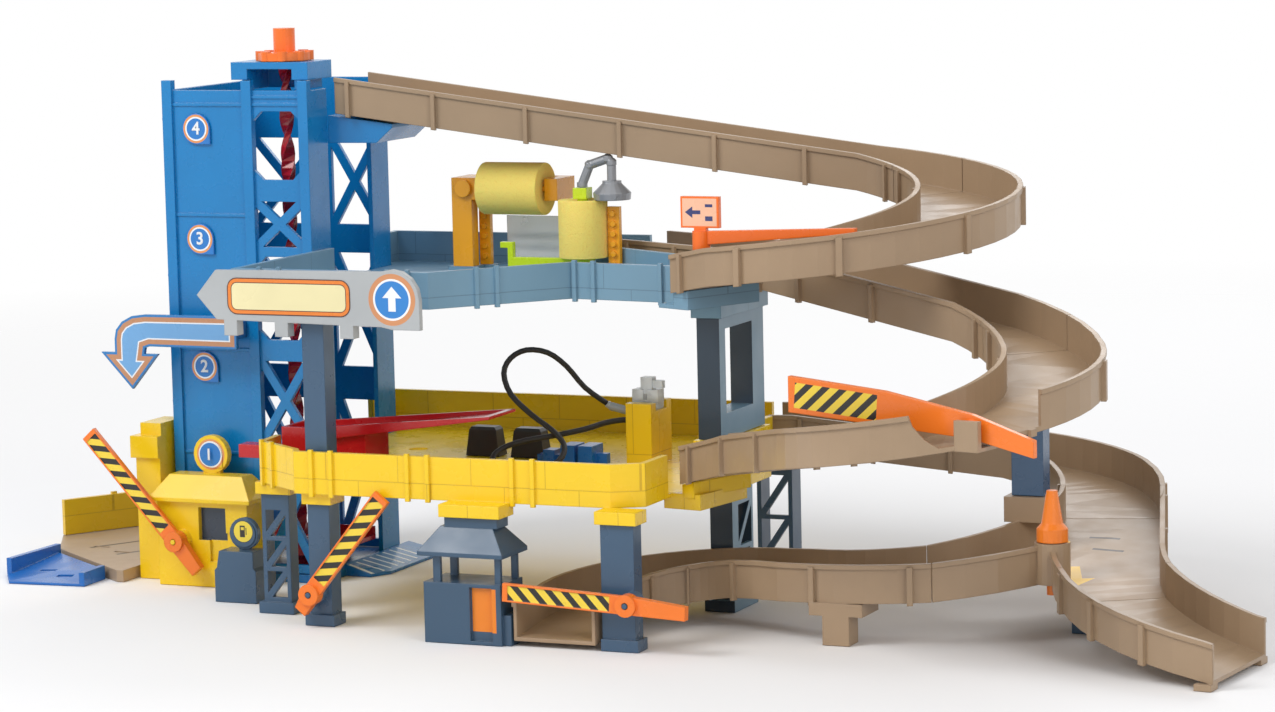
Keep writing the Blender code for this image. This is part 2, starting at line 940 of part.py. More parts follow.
def track_3_line():
    left_over = TRACK_3_END_HEADING + TRACK_3_HEADING - TRACK_3_SWEEP
    runs = [
        (TRACK_3_LEVEL, 0),
        (TRACK_3_STRAIGHT - TRACK_3_LEVEL, 0),
        bend(TRACK_3_RADIUS, -TRACK_3_SWEEP),
        bend(TRACK_3_WIDE_RADIUS, -left_over),
    ]
    stations = walk(TRACK_3_X, TRACK_3_Y, TRACK_3_HEADING, runs)
    length = stations[-1][3]
    start_top = DECK_2_UNDER + DECK_2_FLOOR + CLEAR + TRACK_TALL
    marks = [
        (0, start_top),
        (TRACK_3_LEVEL, start_top),
        (TRACK_3_STRAIGHT, TRACK_3_BEND_TOP),
        (length, SPLIT_TOP),
    ]
    return stations, marks


def left_line():
    """The branch that bends on to the right and comes back to the front."""
    start = track_3_line()[0][-1]
    runs = [
        bend(TRACK_3_WIDE_RADIUS, -LEFT_FORK_SWEEP),
        bend(TRACK_3_WIDE_RADIUS, -LEFT_SWEEP),
        (LEFT_STRAIGHT, 0),
        bend(LEFT_RADIUS, LEFT_BACK_SWEEP),
        (LEFT_LAST, 0),
    ]
    stations = walk(start[0], start[1], start[2], runs)
    fork = TRACK_3_WIDE_RADIUS * LEFT_FORK_SWEEP
    low = fork + TRACK_3_WIDE_RADIUS * LEFT_SWEEP
    length = stations[-1][3]
    marks = [(0, SPLIT_TOP), (fork, LEFT_TOP), (low, LEFT_LOW_TOP), (length, LEFT_END_TOP)]
    return stations, marks, fork


def exit_line():
    """The branch that runs to the front and bends to the left, out of the garage."""
    start = track_3_line()[0][-1]
    rest = -start[2] - EXIT_FORK_SWEEP - EXIT_END_HEADING
    runs = [
        (EXIT_STRAIGHT, 0),
        bend(EXIT_RADIUS, EXIT_FORK_SWEEP),
        bend(EXIT_RADIUS, rest),
        (EXIT_LAST, 0),
    ]
    stations = walk(start[0], start[1], start[2], runs)
    fork = EXIT_STRAIGHT + EXIT_RADIUS * EXIT_FORK_SWEEP
    length = stations[-1][3]
    beside = height_at(left_line()[1], EXIT_STRAIGHT)
    marks = [(0, SPLIT_TOP), (EXIT_STRAIGHT, beside), (length, EXIT_END_TOP)]
    return stations, marks, fork


def make_track_3(look):
    stations, marks = track_3_line()
    start = cut_line(stations, 0, stations[-1][3] - CLEAR)
    finish("track_3_upper", channel(start, marks, TRACK_3_HALF, TRACK_3_SHARES), look)


# The fork of track 3 and its two branches

LEFT_FORK_SHARES = (0.10, 0.55)
LEFT_SHARES = (0.03, 0.20, 0.38, 0.56, 0.70)
EXIT_SHARES = (0.03, 0.35, 0.66)


def past_ends(stations):
    """The same line with a station a little before its start and one after its end."""
    first = stations[0]
    last = stations[-1]
    before = (
        first[0] - OVERRUN * math.cos(first[2]),
        first[1] - OVERRUN * math.sin(first[2]),
        first[2],
        first[3],
    )
    after = (
        last[0] + OVERRUN * math.cos(last[2]),
        last[1] + OVERRUN * math.sin(last[2]),
        last[2],
        last[3],
    )
    return [before] + list(stations) + [after]


def left_half():
    stations, _, fork = left_line()
    return [(0, TRACK_3_HALF), (fork, TRACK_3_HALF), (stations[-1][3] / 2, LEFT_HALF), (stations[-1][3], LEFT_HALF)]


def exit_half():
    stations, _, fork = exit_line()
    return [(0, TRACK_3_HALF), (fork, EXIT_MIDDLE_HALF), (stations[-1][3], EXIT_HALF)]


def fork_tip():
    """Where the outer walls of the two branches meet."""
    x, y, heading, _ = track_3_line()[0][-1]
    half = (TRACK_3_HALF + EXIT_MIDDLE_HALF) / 2
    ahead = 2 * math.sqrt(TRACK_3_WIDE_RADIUS * half)
    tip_x = x + half * math.sin(heading) + ahead * math.cos(heading)
    tip_y = y - half * math.cos(heading) + ahead * math.sin(heading)
    return tip_x, tip_y


def fork_tip_top():
    stations, marks, fork = left_line()
    return height_at(marks, fork * FORK_TIP_SHARE)


FORK_TIP_SHARE = 0.62


def make_fork(look):
    left, left_marks, left_end = left_line()
    right, right_marks, right_end = exit_line()
    left = cut_line(left, 0, left_end - CLEAR)
    right = cut_line(right, 0, right_end - CLEAR)
    bodies = [
        sweep(left, left_marks, full_outline, left_half()),
        sweep(right, right_marks, full_outline, exit_half()),
    ]
    bodies.append(track_rib(left, left_marks, left_end * LEFT_FORK_SHARES[1], left_half(), -1))
    bodies.append(track_rib(right, right_marks, right_end * LEFT_FORK_SHARES[0], exit_half(), 1))
    bodies.append(track_rib(right, right_marks, right_end * LEFT_FORK_SHARES[1], exit_half(), 1))
    tip_x, tip_y = fork_tip()
    cup_top = fork_tip_top()
    bodies.append(rod(tip_x, tip_y, CONE_CUP_RADIUS, cup_top - CONE_CUP_TALL, cup_top))
    cuts = [
        sweep(past_ends(left), left_marks, hollow_outline, left_half()),
        sweep(past_ends(right), right_marks, hollow_outline, exit_half()),
        rod(tip_x, tip_y, CONE_STEM + CLEAR, cup_top - CONE_CUP_TALL - OVERRUN, cup_top + OVERRUN),
    ]
    fork = joined(bodies[:-1], cuts[:2])
    combine(fork, [bodies[-1], prop_seat()], "UNION")
    combine(fork, [cuts[2]], "DIFFERENCE")
    finish("track_3_fork", fork, look)


def make_branches(look):
    stations, marks, fork = left_line()
    stations = cut_line(stations, fork, stations[-1][3])
    branch = channel(stations, marks, left_half(), LEFT_SHARES)
    combine(branch, branch_leg(), "UNION")
    finish("track_3_left", branch, look)
    stations, marks, fork = exit_line()
    stations = cut_line(stations, fork, stations[-1][3])
    branch = channel(stations, marks, exit_half(), EXIT_SHARES)
    combine(branch, exit_feet(stations[-1]), "UNION")
    finish("track_3_exit", branch, look)


def exit_feet(end):
    """Two feet at the mouth that carry it on the ground."""
    x, y, heading, _ = end
    feet = []
    low = EXIT_END_TOP - TRACK_TALL
    for side in (1, -1):
        near = side * (EXIT_HALF - EXIT_FOOT_WIDE)
        far = side * (EXIT_HALF + RIB_OUT)
        foot = section(end, 0, rectangle(min(near, far), max(near, far), 0, low + FUSE))
        back_x = x - EXIT_FOOT_LONG * math.cos(heading)
        back_y = y - EXIT_FOOT_LONG * math.sin(heading)
        back = section(
            (back_x, back_y, heading, 0),
            0,
            rectangle(min(near, far), max(near, far), 0, low + FUSE),
        )
        feet.append(loft([back, foot]))
    return feet


def make_cone(look):
    tip_x, tip_y = fork_tip()
    low = fork_tip_top() + CLEAR
    profile = [
        (CONE_STEM, low - CONE_CUP_TALL - CONE_STEM * 2),
        (CONE_STEM, low),
        (CONE_RADIUS, low),
        (CONE_RADIUS, low + CONE_BASE_TALL),
        (CONE_NECK * 2, low + CONE_BASE_TALL + CONE_NECK),
        (CONE_NECK, low + CONE_TALL),
    ]
    cone = turned(profile, tip_x, tip_y)
    finish("cone_marker", cone, look, (tip_x, tip_y, low))


# Tower

X_BAYS_FRONT_SHARES = ((0.684, 0.776), (0.290, 0.452), (0.035, 0.235))
WINDOWS_FRONT_SHARES = ((0.820, 0.958), (0.495, 0.664))
X_BAYS_BACK_SHARES = ((0.700, 0.880), (0.400, 0.640), (0.035, 0.330))
PANEL_LINE_SHARES = (0.968, 0.744, 0.470, 0.257)
TOP_RIB_SHARES = (0.975, 0.990)
WINDOW_CORNER_SHARE = 0.18


def bay_cutters(left, right, low, high, near, far):
    """Four triangles that leave an X of bars in a bay of a wall along x."""
    middle_x = (left + right) / 2
    middle_z = (low + high) / 2
    slope = math.hypot(right - left, high - low)
    rise = LATTICE_BAR * slope / (right - left) / 2
    run = LATTICE_BAR * slope / (high - low) / 2
    triangles = [
        [(left + run, low), (right - run, low), (middle_x, middle_z - rise)],
        [(left + run, high), (middle_x, middle_z + rise), (right - run, high)],
        [(left, low + rise), (middle_x - run, middle_z), (left, high - rise)],
        [(right, low + rise), (right, high - rise), (middle_x + run, middle_z)],
    ]
    return [prism(triangle, near, far, "y") for triangle in triangles]


def window_cutter(left, right, low, high, near, far):
    corner = (right - left) * WINDOW_CORNER_SHARE
    outline = [
        (left + corner, low),
        (right - corner, low),
        (right, low + corner),
        (right, high - corner),
        (right - corner, high),
        (left + corner, high),
        (left, high - corner),
        (left, low + corner),
    ]
    return prism(outline, near, far, "y")


def tower_right():
    return TOWER_LEFT + TOWER_WIDTH


def make_tower_front(look):
    left = TOWER_LEFT
    right = tower_right()
    middle = left + PANEL_WIDTH
    base = TOWER_BASE_TALL + CLEAR
    bodies = [block(left, right, 0, TOWER_WALL, base, TOWER_TOP)]
    bodies.append(block(right - TOWER_WALL, right, FUSE, LIFT_DOOR_NEAR, base, TOWER_TOP))
    for start in (left, middle, right - TOWER_POST):
        top = TOWER_TOP + TOWER_POST_ABOVE
        bodies.append(block(start, start + TOWER_POST, -TOWER_POST_PROUD, TOWER_WALL, base, top))
    panel_left = left + TOWER_POST - FUSE
    for share in PANEL_LINE_SHARES:
        line = share * TOWER_TOP
        bodies.append(block(panel_left, middle + FUSE, -PANEL_LINE_PROUD, FUSE, line, line + PANEL_LINE_TALL))
    inner_left = middle + TOWER_POST
    inner_right = right - TOWER_POST
    for share in TOP_RIB_SHARES:
        line = share * TOWER_TOP - PANEL_LINE_TALL
        bodies.append(
            block(
                inner_left - FUSE,
                inner_right + FUSE,
                -PANEL_LINE_PROUD,
                FUSE,
                line,
                line + PANEL_LINE_TALL,
            )
        )
    cuts = []
    for low, high in X_BAYS_FRONT_SHARES:
        cuts += bay_cutters(
            inner_left,
            inner_right,
            low * TOWER_TOP,
            high * TOWER_TOP,
            -OVERRUN,
            TOWER_WALL + OVERRUN,
        )
    for low, high in WINDOWS_FRONT_SHARES:
        cuts.append(
            window_cutter(
                inner_left,
                inner_right,
                low * TOWER_TOP,
                high * TOWER_TOP,
                -OVERRUN,
                TOWER_WALL + OVERRUN,
            )
        )
    finish("tower_front", joined(bodies, cuts), look, smooth=False)


def left_wall():
    """The wall at the tower's left, with its pegs, and the opening to cut from it."""
    near = TOWER_WALL + CLEAR
    far = TOWER_DEPTH - FUSE
    base = TOWER_BASE_TALL + CLEAR
    bodies = [block(TOWER_LEFT, TOWER_LEFT + TOWER_WALL, near, far, base, TOWER_TOP)]
    door = block(
        TOWER_LEFT - OVERRUN,
        TOWER_LEFT + TOWER_WALL + OVERRUN,
        LIFT_DOOR_NEAR,
        LIFT_DOOR_FAR,
        base - OVERRUN,
        LIFT_DOOR_TALL,
    )
    for share in PEG_SHARES:
        bodies.append(
            rod(
                near + PEG_RADIUS * 2,
                share * TOWER_TOP,
                PEG_RADIUS,
                TOWER_LEFT - PEG_LONG,
                TOWER_LEFT + FUSE,
                "x",
                SMALL_SIDES,
            )
        )
    return bodies, door


def make_tower_back(look):
    left = TOWER_LEFT
    right = tower_right()
    base = TOWER_BASE_TALL + CLEAR
    near = TOWER_DEPTH - TOWER_WALL
    bodies = [block(left, right, near, TOWER_DEPTH, base, TOWER_TOP)]
    bodies.append(block(right - TOWER_WALL, right, LIFT_DOOR_FAR, TOWER_DEPTH - FUSE, base, TOWER_TOP))
    middle = left + PANEL_WIDTH
    bodies.append(block(left, right, near, TOWER_DEPTH, TOWER_TOP - FUSE, TOWER_TOP + GUARD_THICK))
    wall, door = left_wall()
    bodies += wall
    cuts = [door]
    for low, high in X_BAYS_BACK_SHARES:
        for one, two in ((left + TOWER_POST, middle - FUSE), (middle + TOWER_POST, right - TOWER_POST)):
            cuts += bay_cutters(
                one,
                two,
                low * TOWER_TOP,
                high * TOWER_TOP,
                near - OVERRUN,
                TOWER_DEPTH + OVERRUN,
            )
    finish("tower_back", joined(bodies, cuts), look, smooth=False)


PEG_SHARES = (0.36, 0.62, 0.94)


def make_tower_base(look):
    left = TOWER_LEFT - TOWER_BASE_OUT
    right = tower_right() + CLEAR + FUSE
    front = -TOWER_POST_PROUD
    body = block(left, right, front, TOWER_DEPTH + TOWER_BASE_OUT, 0, TOWER_BASE_TALL)
    finish("tower_base", joined([body, base_ramp()]), look, smooth=False)


def base_ramp():
    """The low ramp by which cars leave the lift at ground level."""
    left = tower_right() + CLEAR
    right = BASE_RAMP_RIGHT
    points = [
        (left, BASE_RAMP_FRONT),
        (right - (right - left) * BASE_RAMP_NOSE_SHARE, BASE_RAMP_FRONT),
        (right, between(BASE_RAMP_FRONT, BASE_RAMP_BACK, BASE_RAMP_NOSE_SHARE / 2)),
        (right, BASE_RAMP_BACK),
        (left, BASE_RAMP_BACK),
    ]
    low = BASE_RAMP_TALL / 4
    tops = [BASE_RAMP_TALL, low, low, low, BASE_RAMP_TALL]
    rings = [[(x, y, 0) for x, y in points]]
    rings.append([(point[0], point[1], top) for point, top in zip(points, tops)])
    return loft(rings)


BASE_RAMP_NOSE_SHARE = 0.30


def make_head(look):
    """The hooded box over the screw, with the bearing that the knob sits on."""
    left = HEAD_LEFT
    right = tower_right()
    low = TOWER_TOP + TOWER_POST_ABOVE + CLEAR
    body = block(left, right, 0, HEAD_DEEP, low, HEAD_TOP)
    skirt_low = TOWER_TOP + CLEAR
    skirt_near = TOWER_WALL + CLEAR
    inner_left = left + HEAD_WALL
    inner_right = right - TOWER_POST - HEAD_WALL
    skirt = block(left + TOWER_POST, right - TOWER_POST, skirt_near, HEAD_DEEP, skirt_low, low + FUSE)
    hollow = block(
        inner_left + TOWER_POST,
        inner_right,
        -OVERRUN,
        HEAD_DEEP - HEAD_WALL,
        skirt_low - OVERRUN,
        HEAD_TOP - HEAD_WALL,
    )
    bore = rod(SCREW_X, SCREW_Y, SCREW_BORE / 2, low - OVERRUN, HEAD_TOP + OVERRUN)
    finish("tower_head", joined([body, skirt], [hollow, bore]), look, smooth=False)


def make_top_bracket(look):
    """The shelf on the tower that carries the start of track 1."""
    stations, marks = track_1_line()
    left = tower_right() + CLEAR
    reach = TOP_BRACKET_REACH
    half = TRACK_1_HALF * TOP_BRACKET_WIDE_SHARE
    rings = []
    for share in (0, TOP_BRACKET_BEND_SHARE, 1):
        x = left + reach * share
        distance = max(x - TRACK_1_X, 0)
        top = height_at(marks, distance) - TRACK_TALL - RIB_BELOW - CLEAR
        low = TRACK_1_TOP - TRACK_TALL - TOP_BRACKET_TALL
        low = between(
            low,
            top - TRACK_FLOOR,
            max(share - TOP_BRACKET_BEND_SHARE, 0) / (1 - TOP_BRACKET_BEND_SHARE),
        )
        middle = TRACK_1_Y + (x - TRACK_1_X) * math.tan(TRACK_1_HEADING)
        rings.append(
            [
                (x, middle - half, low),
                (x, middle + half, low),
                (x, middle + half, top),
                (x, middle - half, top),
            ]
        )
    finish("top_bracket", loft(rings), look, smooth=False)


TOP_BRACKET_REACH = 0.034
TOP_BRACKET_TALL = 0.015
TOP_BRACKET_WIDE_SHARE = 0.88
TOP_BRACKET_BEND_SHARE = 0.75


# Lift


def make_knob(look):
    low = HEAD_TOP + CLEAR
    bodies = [rod(SCREW_X, SCREW_Y, KNOB_FLANGE_RADIUS, low, low + KNOB_FLANGE_TALL, sides=ROUND_SIDES * 2)]
    for lobe in range(KNOB_LOBES):
        angle = 2 * math.pi * (lobe + 0.5) / KNOB_LOBES
        x = SCREW_X + (KNOB_FLANGE_RADIUS - KNOB_LOBE_RADIUS / 2) * math.cos(angle)
        y = SCREW_Y + (KNOB_FLANGE_RADIUS - KNOB_LOBE_RADIUS / 2) * math.sin(angle)
        top = low + KNOB_FLANGE_TALL + PANEL_LINE_PROUD
        bodies.append(rod(x, y, KNOB_LOBE_RADIUS, low, top, sides=SMALL_SIDES))
    bodies.append(rod(SCREW_X, SCREW_Y, KNOB_POST_RADIUS, low + FUSE, KNOB_TOP))
    finish("lift_knob", joined(bodies), look, (SCREW_X, SCREW_Y, low))


def make_screw(look):
    """A flat bar twisted about the lift's axis."""
    low = TOWER_BASE_TALL + CLEAR
    high = HEAD_TOP
    steps = math.ceil((high - low) / SCREW_STEP)
    rings = []
    for step in range(steps + 1):
        z = between(low, high, step / steps)
        angle = 2 * math.pi * z / SCREW_LEAD
        ring = []
        for along, across in rectangle(-SCREW_WIDE / 2, SCREW_WIDE / 2, -SCREW_THICK / 2, SCREW_THICK / 2):
            x = SCREW_X + along * math.cos(angle) - across * math.sin(angle)
            y = SCREW_Y + along * math.sin(angle) + across * math.cos(angle)
            ring.append((x, y, z))
        rings.append(ring)
    finish("lift_screw", loft(rings), look, (SCREW_X, SCREW_Y, low))


def make_platform(look):
    """The tray that carries a car up, with its nut on the screw."""
    left = TOWER_LEFT + TOWER_WALL + PLATFORM_SIDE_GAP
    right = tower_right() - TOWER_WALL - PLATFORM_SIDE_GAP
    near = LIFT_DOOR_NEAR + PLATFORM_SIDE_GAP * 2
    far = LIFT_DOOR_FAR - PLATFORM_SIDE_GAP
    top = PLATFORM_Z + PLATFORM_THICK
    bodies = [block(left, right, near, far, PLATFORM_Z, top)]
    for start in (near, far - PLATFORM_RAIL_WALL):
        bodies.append(block(left, right, start, start + PLATFORM_RAIL_WALL, PLATFORM_Z, top + PLATFORM_RAIL))
    nut_top = PLATFORM_Z + PLATFORM_NUT_TALL
    bodies.append(rod(SCREW_X, SCREW_Y, PLATFORM_NUT_RADIUS, PLATFORM_Z, nut_top))
    arm = PLATFORM_NUT_RADIUS - FUSE
    bodies.append(block(SCREW_X - arm, SCREW_X + arm, SCREW_Y, near + FUSE, PLATFORM_Z, top))
    bore = rod(SCREW_X, SCREW_Y, SCREW_BORE / 2, PLATFORM_Z - OVERRUN, nut_top + OVERRUN)
    finish("lift_platform", joined(bodies, [bore]), look, (SCREW_X, SCREW_Y, PLATFORM_Z), smooth=False)


# Decks

DECK_3_B_SHARES = (0.489, 0.0)
DECK_3_C_SHARES = (0.526, 0.052)
DECK_3_D_SHARES = (0.712, 0.294)
DECK_3_E_SHARES = (1.0, 0.2526)
DECK_3_F_SHARES = (1.0, 0.459)
DECK_3_G_SHARES = (0.815, 0.585)
DECK_3_H_SHARES = (0.588, 0.735)
DECK_3_I_SHARES = (0.650, 1.0)
DECK_3_RIB_SHARES = ((0, 1, 0.20), (0, 1, 0.85), (2, 3, 0.28), (3, 4, 0.12), (3, 4, 0.88))
TONGUE_LONG = 0.012
LEDGE_LONG = 0.010


def deck_3_point(shares):
    return (
        between(DECK_3_LEFT, DECK_3_RIGHT, shares[0]),
        between(DECK_3_FRONT, DECK_3_BACK, shares[1]),
    )


def rib_pairs(points, places, low, high):
    """Pairs of ribs on the outside of a deck's wall, at shares of its sides."""
    ribs = []
    for one, two, share in places:
        run = (Vector(points[two]) - Vector(points[one])).length
        for side in (-1, 1):
            at = share + side * DECK_RIB_PAIR / run / 2
            ribs.append(rib_on(points[one], points[two], at, DECK_RIB_WIDE, DECK_RIB_OUT, low, high))
    return ribs


def mouth_pad(stations, marks, from_distance, to_distance, half, low):
    """A block under a stretch of track, from a fixed height up to the track's underside."""
    line = cut_line(stations, from_distance, to_distance)
    rings = []
    for station in line:
        top = height_at(marks, station[3])
        outline = rectangle(-half, half, low - top, -TRACK_TALL - CLEAR)
        rings.append(section(station, top, outline))
    return loft(rings)


def ledge(station, ahead, back, half, low, high):
    """A plate across a track's mouth, from a way behind its end to a way ahead of it."""
    x, y, heading, _ = station
    rings = []
    for along in (-back, ahead):
        here = (x + along * math.cos(heading), y + along * math.sin(heading), heading, 0)
        rings.append(section(here, 0, rectangle(-half, half, low, high)))
    return loft(rings)


def make_deck_3(look):
    low = DECK_3_UNDER
    floor = low + DECK_3_FLOOR
    high = DECK_3_TOP
    corner = (DECK_3_LEFT, DECK_3_FRONT)
    b, c, d, e = (deck_3_point(share) for share in DECK_FRONT_SHARES)
    f = deck_3_point(DECK_3_F_SHARES)
    g = deck_3_point(DECK_3_G_SHARES)
    h = deck_3_point(DECK_3_H_SHARES)
    i = deck_3_point(DECK_3_I_SHARES)
    tower_back = TOWER_DEPTH + TOWER_BASE_OUT + CLEAR
    rear = (DECK_3_REAR_LEFT, DECK_3_BACK)
    rear_near = (DECK_3_REAR_LEFT, tower_back)
    ahead_x = TONGUE_LONG * math.cos(TRACK_2_HEADING)
    ahead_y = TONGUE_LONG * math.sin(TRACK_2_HEADING)
    outline = [
        corner,
        b,
        c,
        d,
        e,
        f,
        g,
        (h[0] + ahead_x, h[1] + ahead_y),
        (i[0] + ahead_x, i[1] + ahead_y),
        rear,
        rear_near,
        (DECK_3_LEFT, tower_back),
    ]
    bodies = [prism(outline, low, floor)]
    front = [corner, b, c, d, e]
    bodies.append(ribbon(front, DECK_WALL, low, high))
    bodies.append(ribbon([f, g, h], DECK_WALL, low, high))
    back_end = (i[0] - DECK_WALL, DECK_3_BACK)
    bodies.append(ribbon([back_end, rear, rear_near], DECK_WALL, low, high))
    lift_near = (DECK_3_LEFT, LIFT_DOOR_NEAR - DECK_WALL)
    bodies.append(ribbon([lift_near, corner], DECK_WALL, low, high))
    bodies += rib_pairs(front, DECK_3_RIB_SHARES, low - DECK_RIB_ABOVE, high + DECK_RIB_ABOVE)
    stations, marks = track_1_line()
    end = stations[-1]
    wide = TRACK_1_HALF - TRACK_WALL
    bodies.append(ledge(end, LEDGE_LONG, CLEAR, wide, low, floor))
    bodies.append(mouth_pad(stations, marks, end[3] - LEDGE_LONG, end[3] - CLEAR, wide, low))
    block_low = low - PORTAL_BLOCK_TALL
    wide_x = PORTAL_X + PORTAL_WIDE + SOCKET_OUT
    bodies.append(
        block(
            PORTAL_X - SOCKET_OUT,
            wide_x,
            PORTAL_FRONT - SOCKET_OUT,
            PORTAL_BACK + SOCKET_OUT,
            block_low,
            low + FUSE,
        )
    )
    bodies.append(block(PORTAL_X - OVERRUN, wide_x, e[1] + FUSE, g[1], low, floor))
    lug_high = low + FUSE
    lug_low = low - SOCKET_DEEP
    bodies.append(
        block(
            COLUMN_X - SOCKET_OUT,
            COLUMN_X + COLUMN_WIDE + SOCKET_OUT,
            COLUMN_FRONT - SOCKET_OUT,
            DECK_3_FRONT + SOCKET_OUT * 2,
            lug_low,
            lug_high + DECK_3_FLOOR,
        )
    )
    for x, y, wide_x, wide_y in wash_seats():
        bodies.append(
            block(
                x - wide_x - SOCKET_OUT,
                x + wide_x + SOCKET_OUT,
                y - wide_y - SOCKET_OUT,
                y + wide_y + SOCKET_OUT,
                floor - FUSE,
                floor + DECK_SEAT_TALL,
            )
        )
    bodies.append(rod(BRUSH_X, BRUSH_Y, SHAFT_RADIUS * 2, floor - FUSE, floor + DECK_SEAT_TALL))
    cuts = [
        rod(
            BRUSH_X,
            BRUSH_Y,
            GATE_BORE + CLEAR,
            low - OVERRUN,
            floor + DECK_SEAT_TALL + OVERRUN,
            sides=SMALL_SIDES,
        ),
    ]
    for x, y, wide_x, wide_y in wash_seats():
        cuts.append(
            block(
                x - wide_x - CLEAR,
                x + wide_x + CLEAR,
                y - wide_y - CLEAR,
                y + wide_y + CLEAR,
                floor,
                floor + DECK_SEAT_TALL + OVERRUN,
            )
        )
    for share_low, share_high in BACK_SLOT_SHARES:
        left = between(DECK_3_REAR_LEFT, i[0], BACK_SLOT_LEFT_SHARE)
        for left_share, right_share in ((0.0, 0.45), (0.55, 1.0)):
            slot_left = between(left, i[0] - DECK_WALL * 2, left_share)
            slot_right = between(left, i[0] - DECK_WALL * 2, right_share)
            cuts.append(
                block(
                    slot_left,
                    slot_right,
                    DECK_3_BACK - DECK_WALL - OVERRUN,
                    DECK_3_BACK + OVERRUN,
                    between(floor, high, share_low),
                    between(floor, high, share_high),
                )
            )
    finish("deck_3", joined(bodies, cuts), look, smooth=False)


DECK_FRONT_SHARES = (DECK_3_B_SHARES, DECK_3_C_SHARES, DECK_3_D_SHARES, DECK_3_E_SHARES)
BACK_SLOT_SHARES = ((0.22, 0.42), (0.62, 0.82))
BACK_SLOT_LEFT_SHARE = 0.45


def wash_seats():
    """Places and half sizes of what stands in a seat on deck 3."""
    half_stud = (STUD_WIDE / 2, STUD_THICK / 2)
    return (
        (WASH_X + WASH_POST_WIDE / 2, WASH_Y, WASH_POST_WIDE / 2, WASH_POST_DEEP / 2),
        (STUD_LEFT_X, STUD_Y, *half_stud),
        (STUD_RIGHT_X, STUD_RIGHT_Y, *half_stud),
    )


DECK_2_1_SHARES = (0.023, 0.1244)
DECK_2_2_SHARES = (0.157, 0.032)
DECK_2_3_SHARES = (0.176, 0.0)
DECK_2_4_SHARES = (0.935, 0.0)
DECK_2_5_SHARES = (1.0, 0.037)
DECK_2_6_SHARES = (1.0, 0.160)
DECK_2_8_SHARES = (1.0, 0.775)
DECK_2_RIB_SHARES = ((3, 4, 0.09), (3, 4, 0.40), (3, 4, 0.73), (1, 2, 0.25))
DECK_2_BACK_END_SHARE = 0.915


def deck_2_point(shares):
    return (
        between(DECK_2_LEFT, DECK_2_RIGHT, shares[0]),
        between(DECK_2_FRONT, DECK_2_BACK, shares[1]),
    )


def socket(x, y, wide, deep, low, high):
    """A collar block above a column, a little wider than the column."""
    return block(x - SOCKET_OUT, x + wide + SOCKET_OUT, y - SOCKET_OUT, y + deep + SOCKET_OUT, low, high)


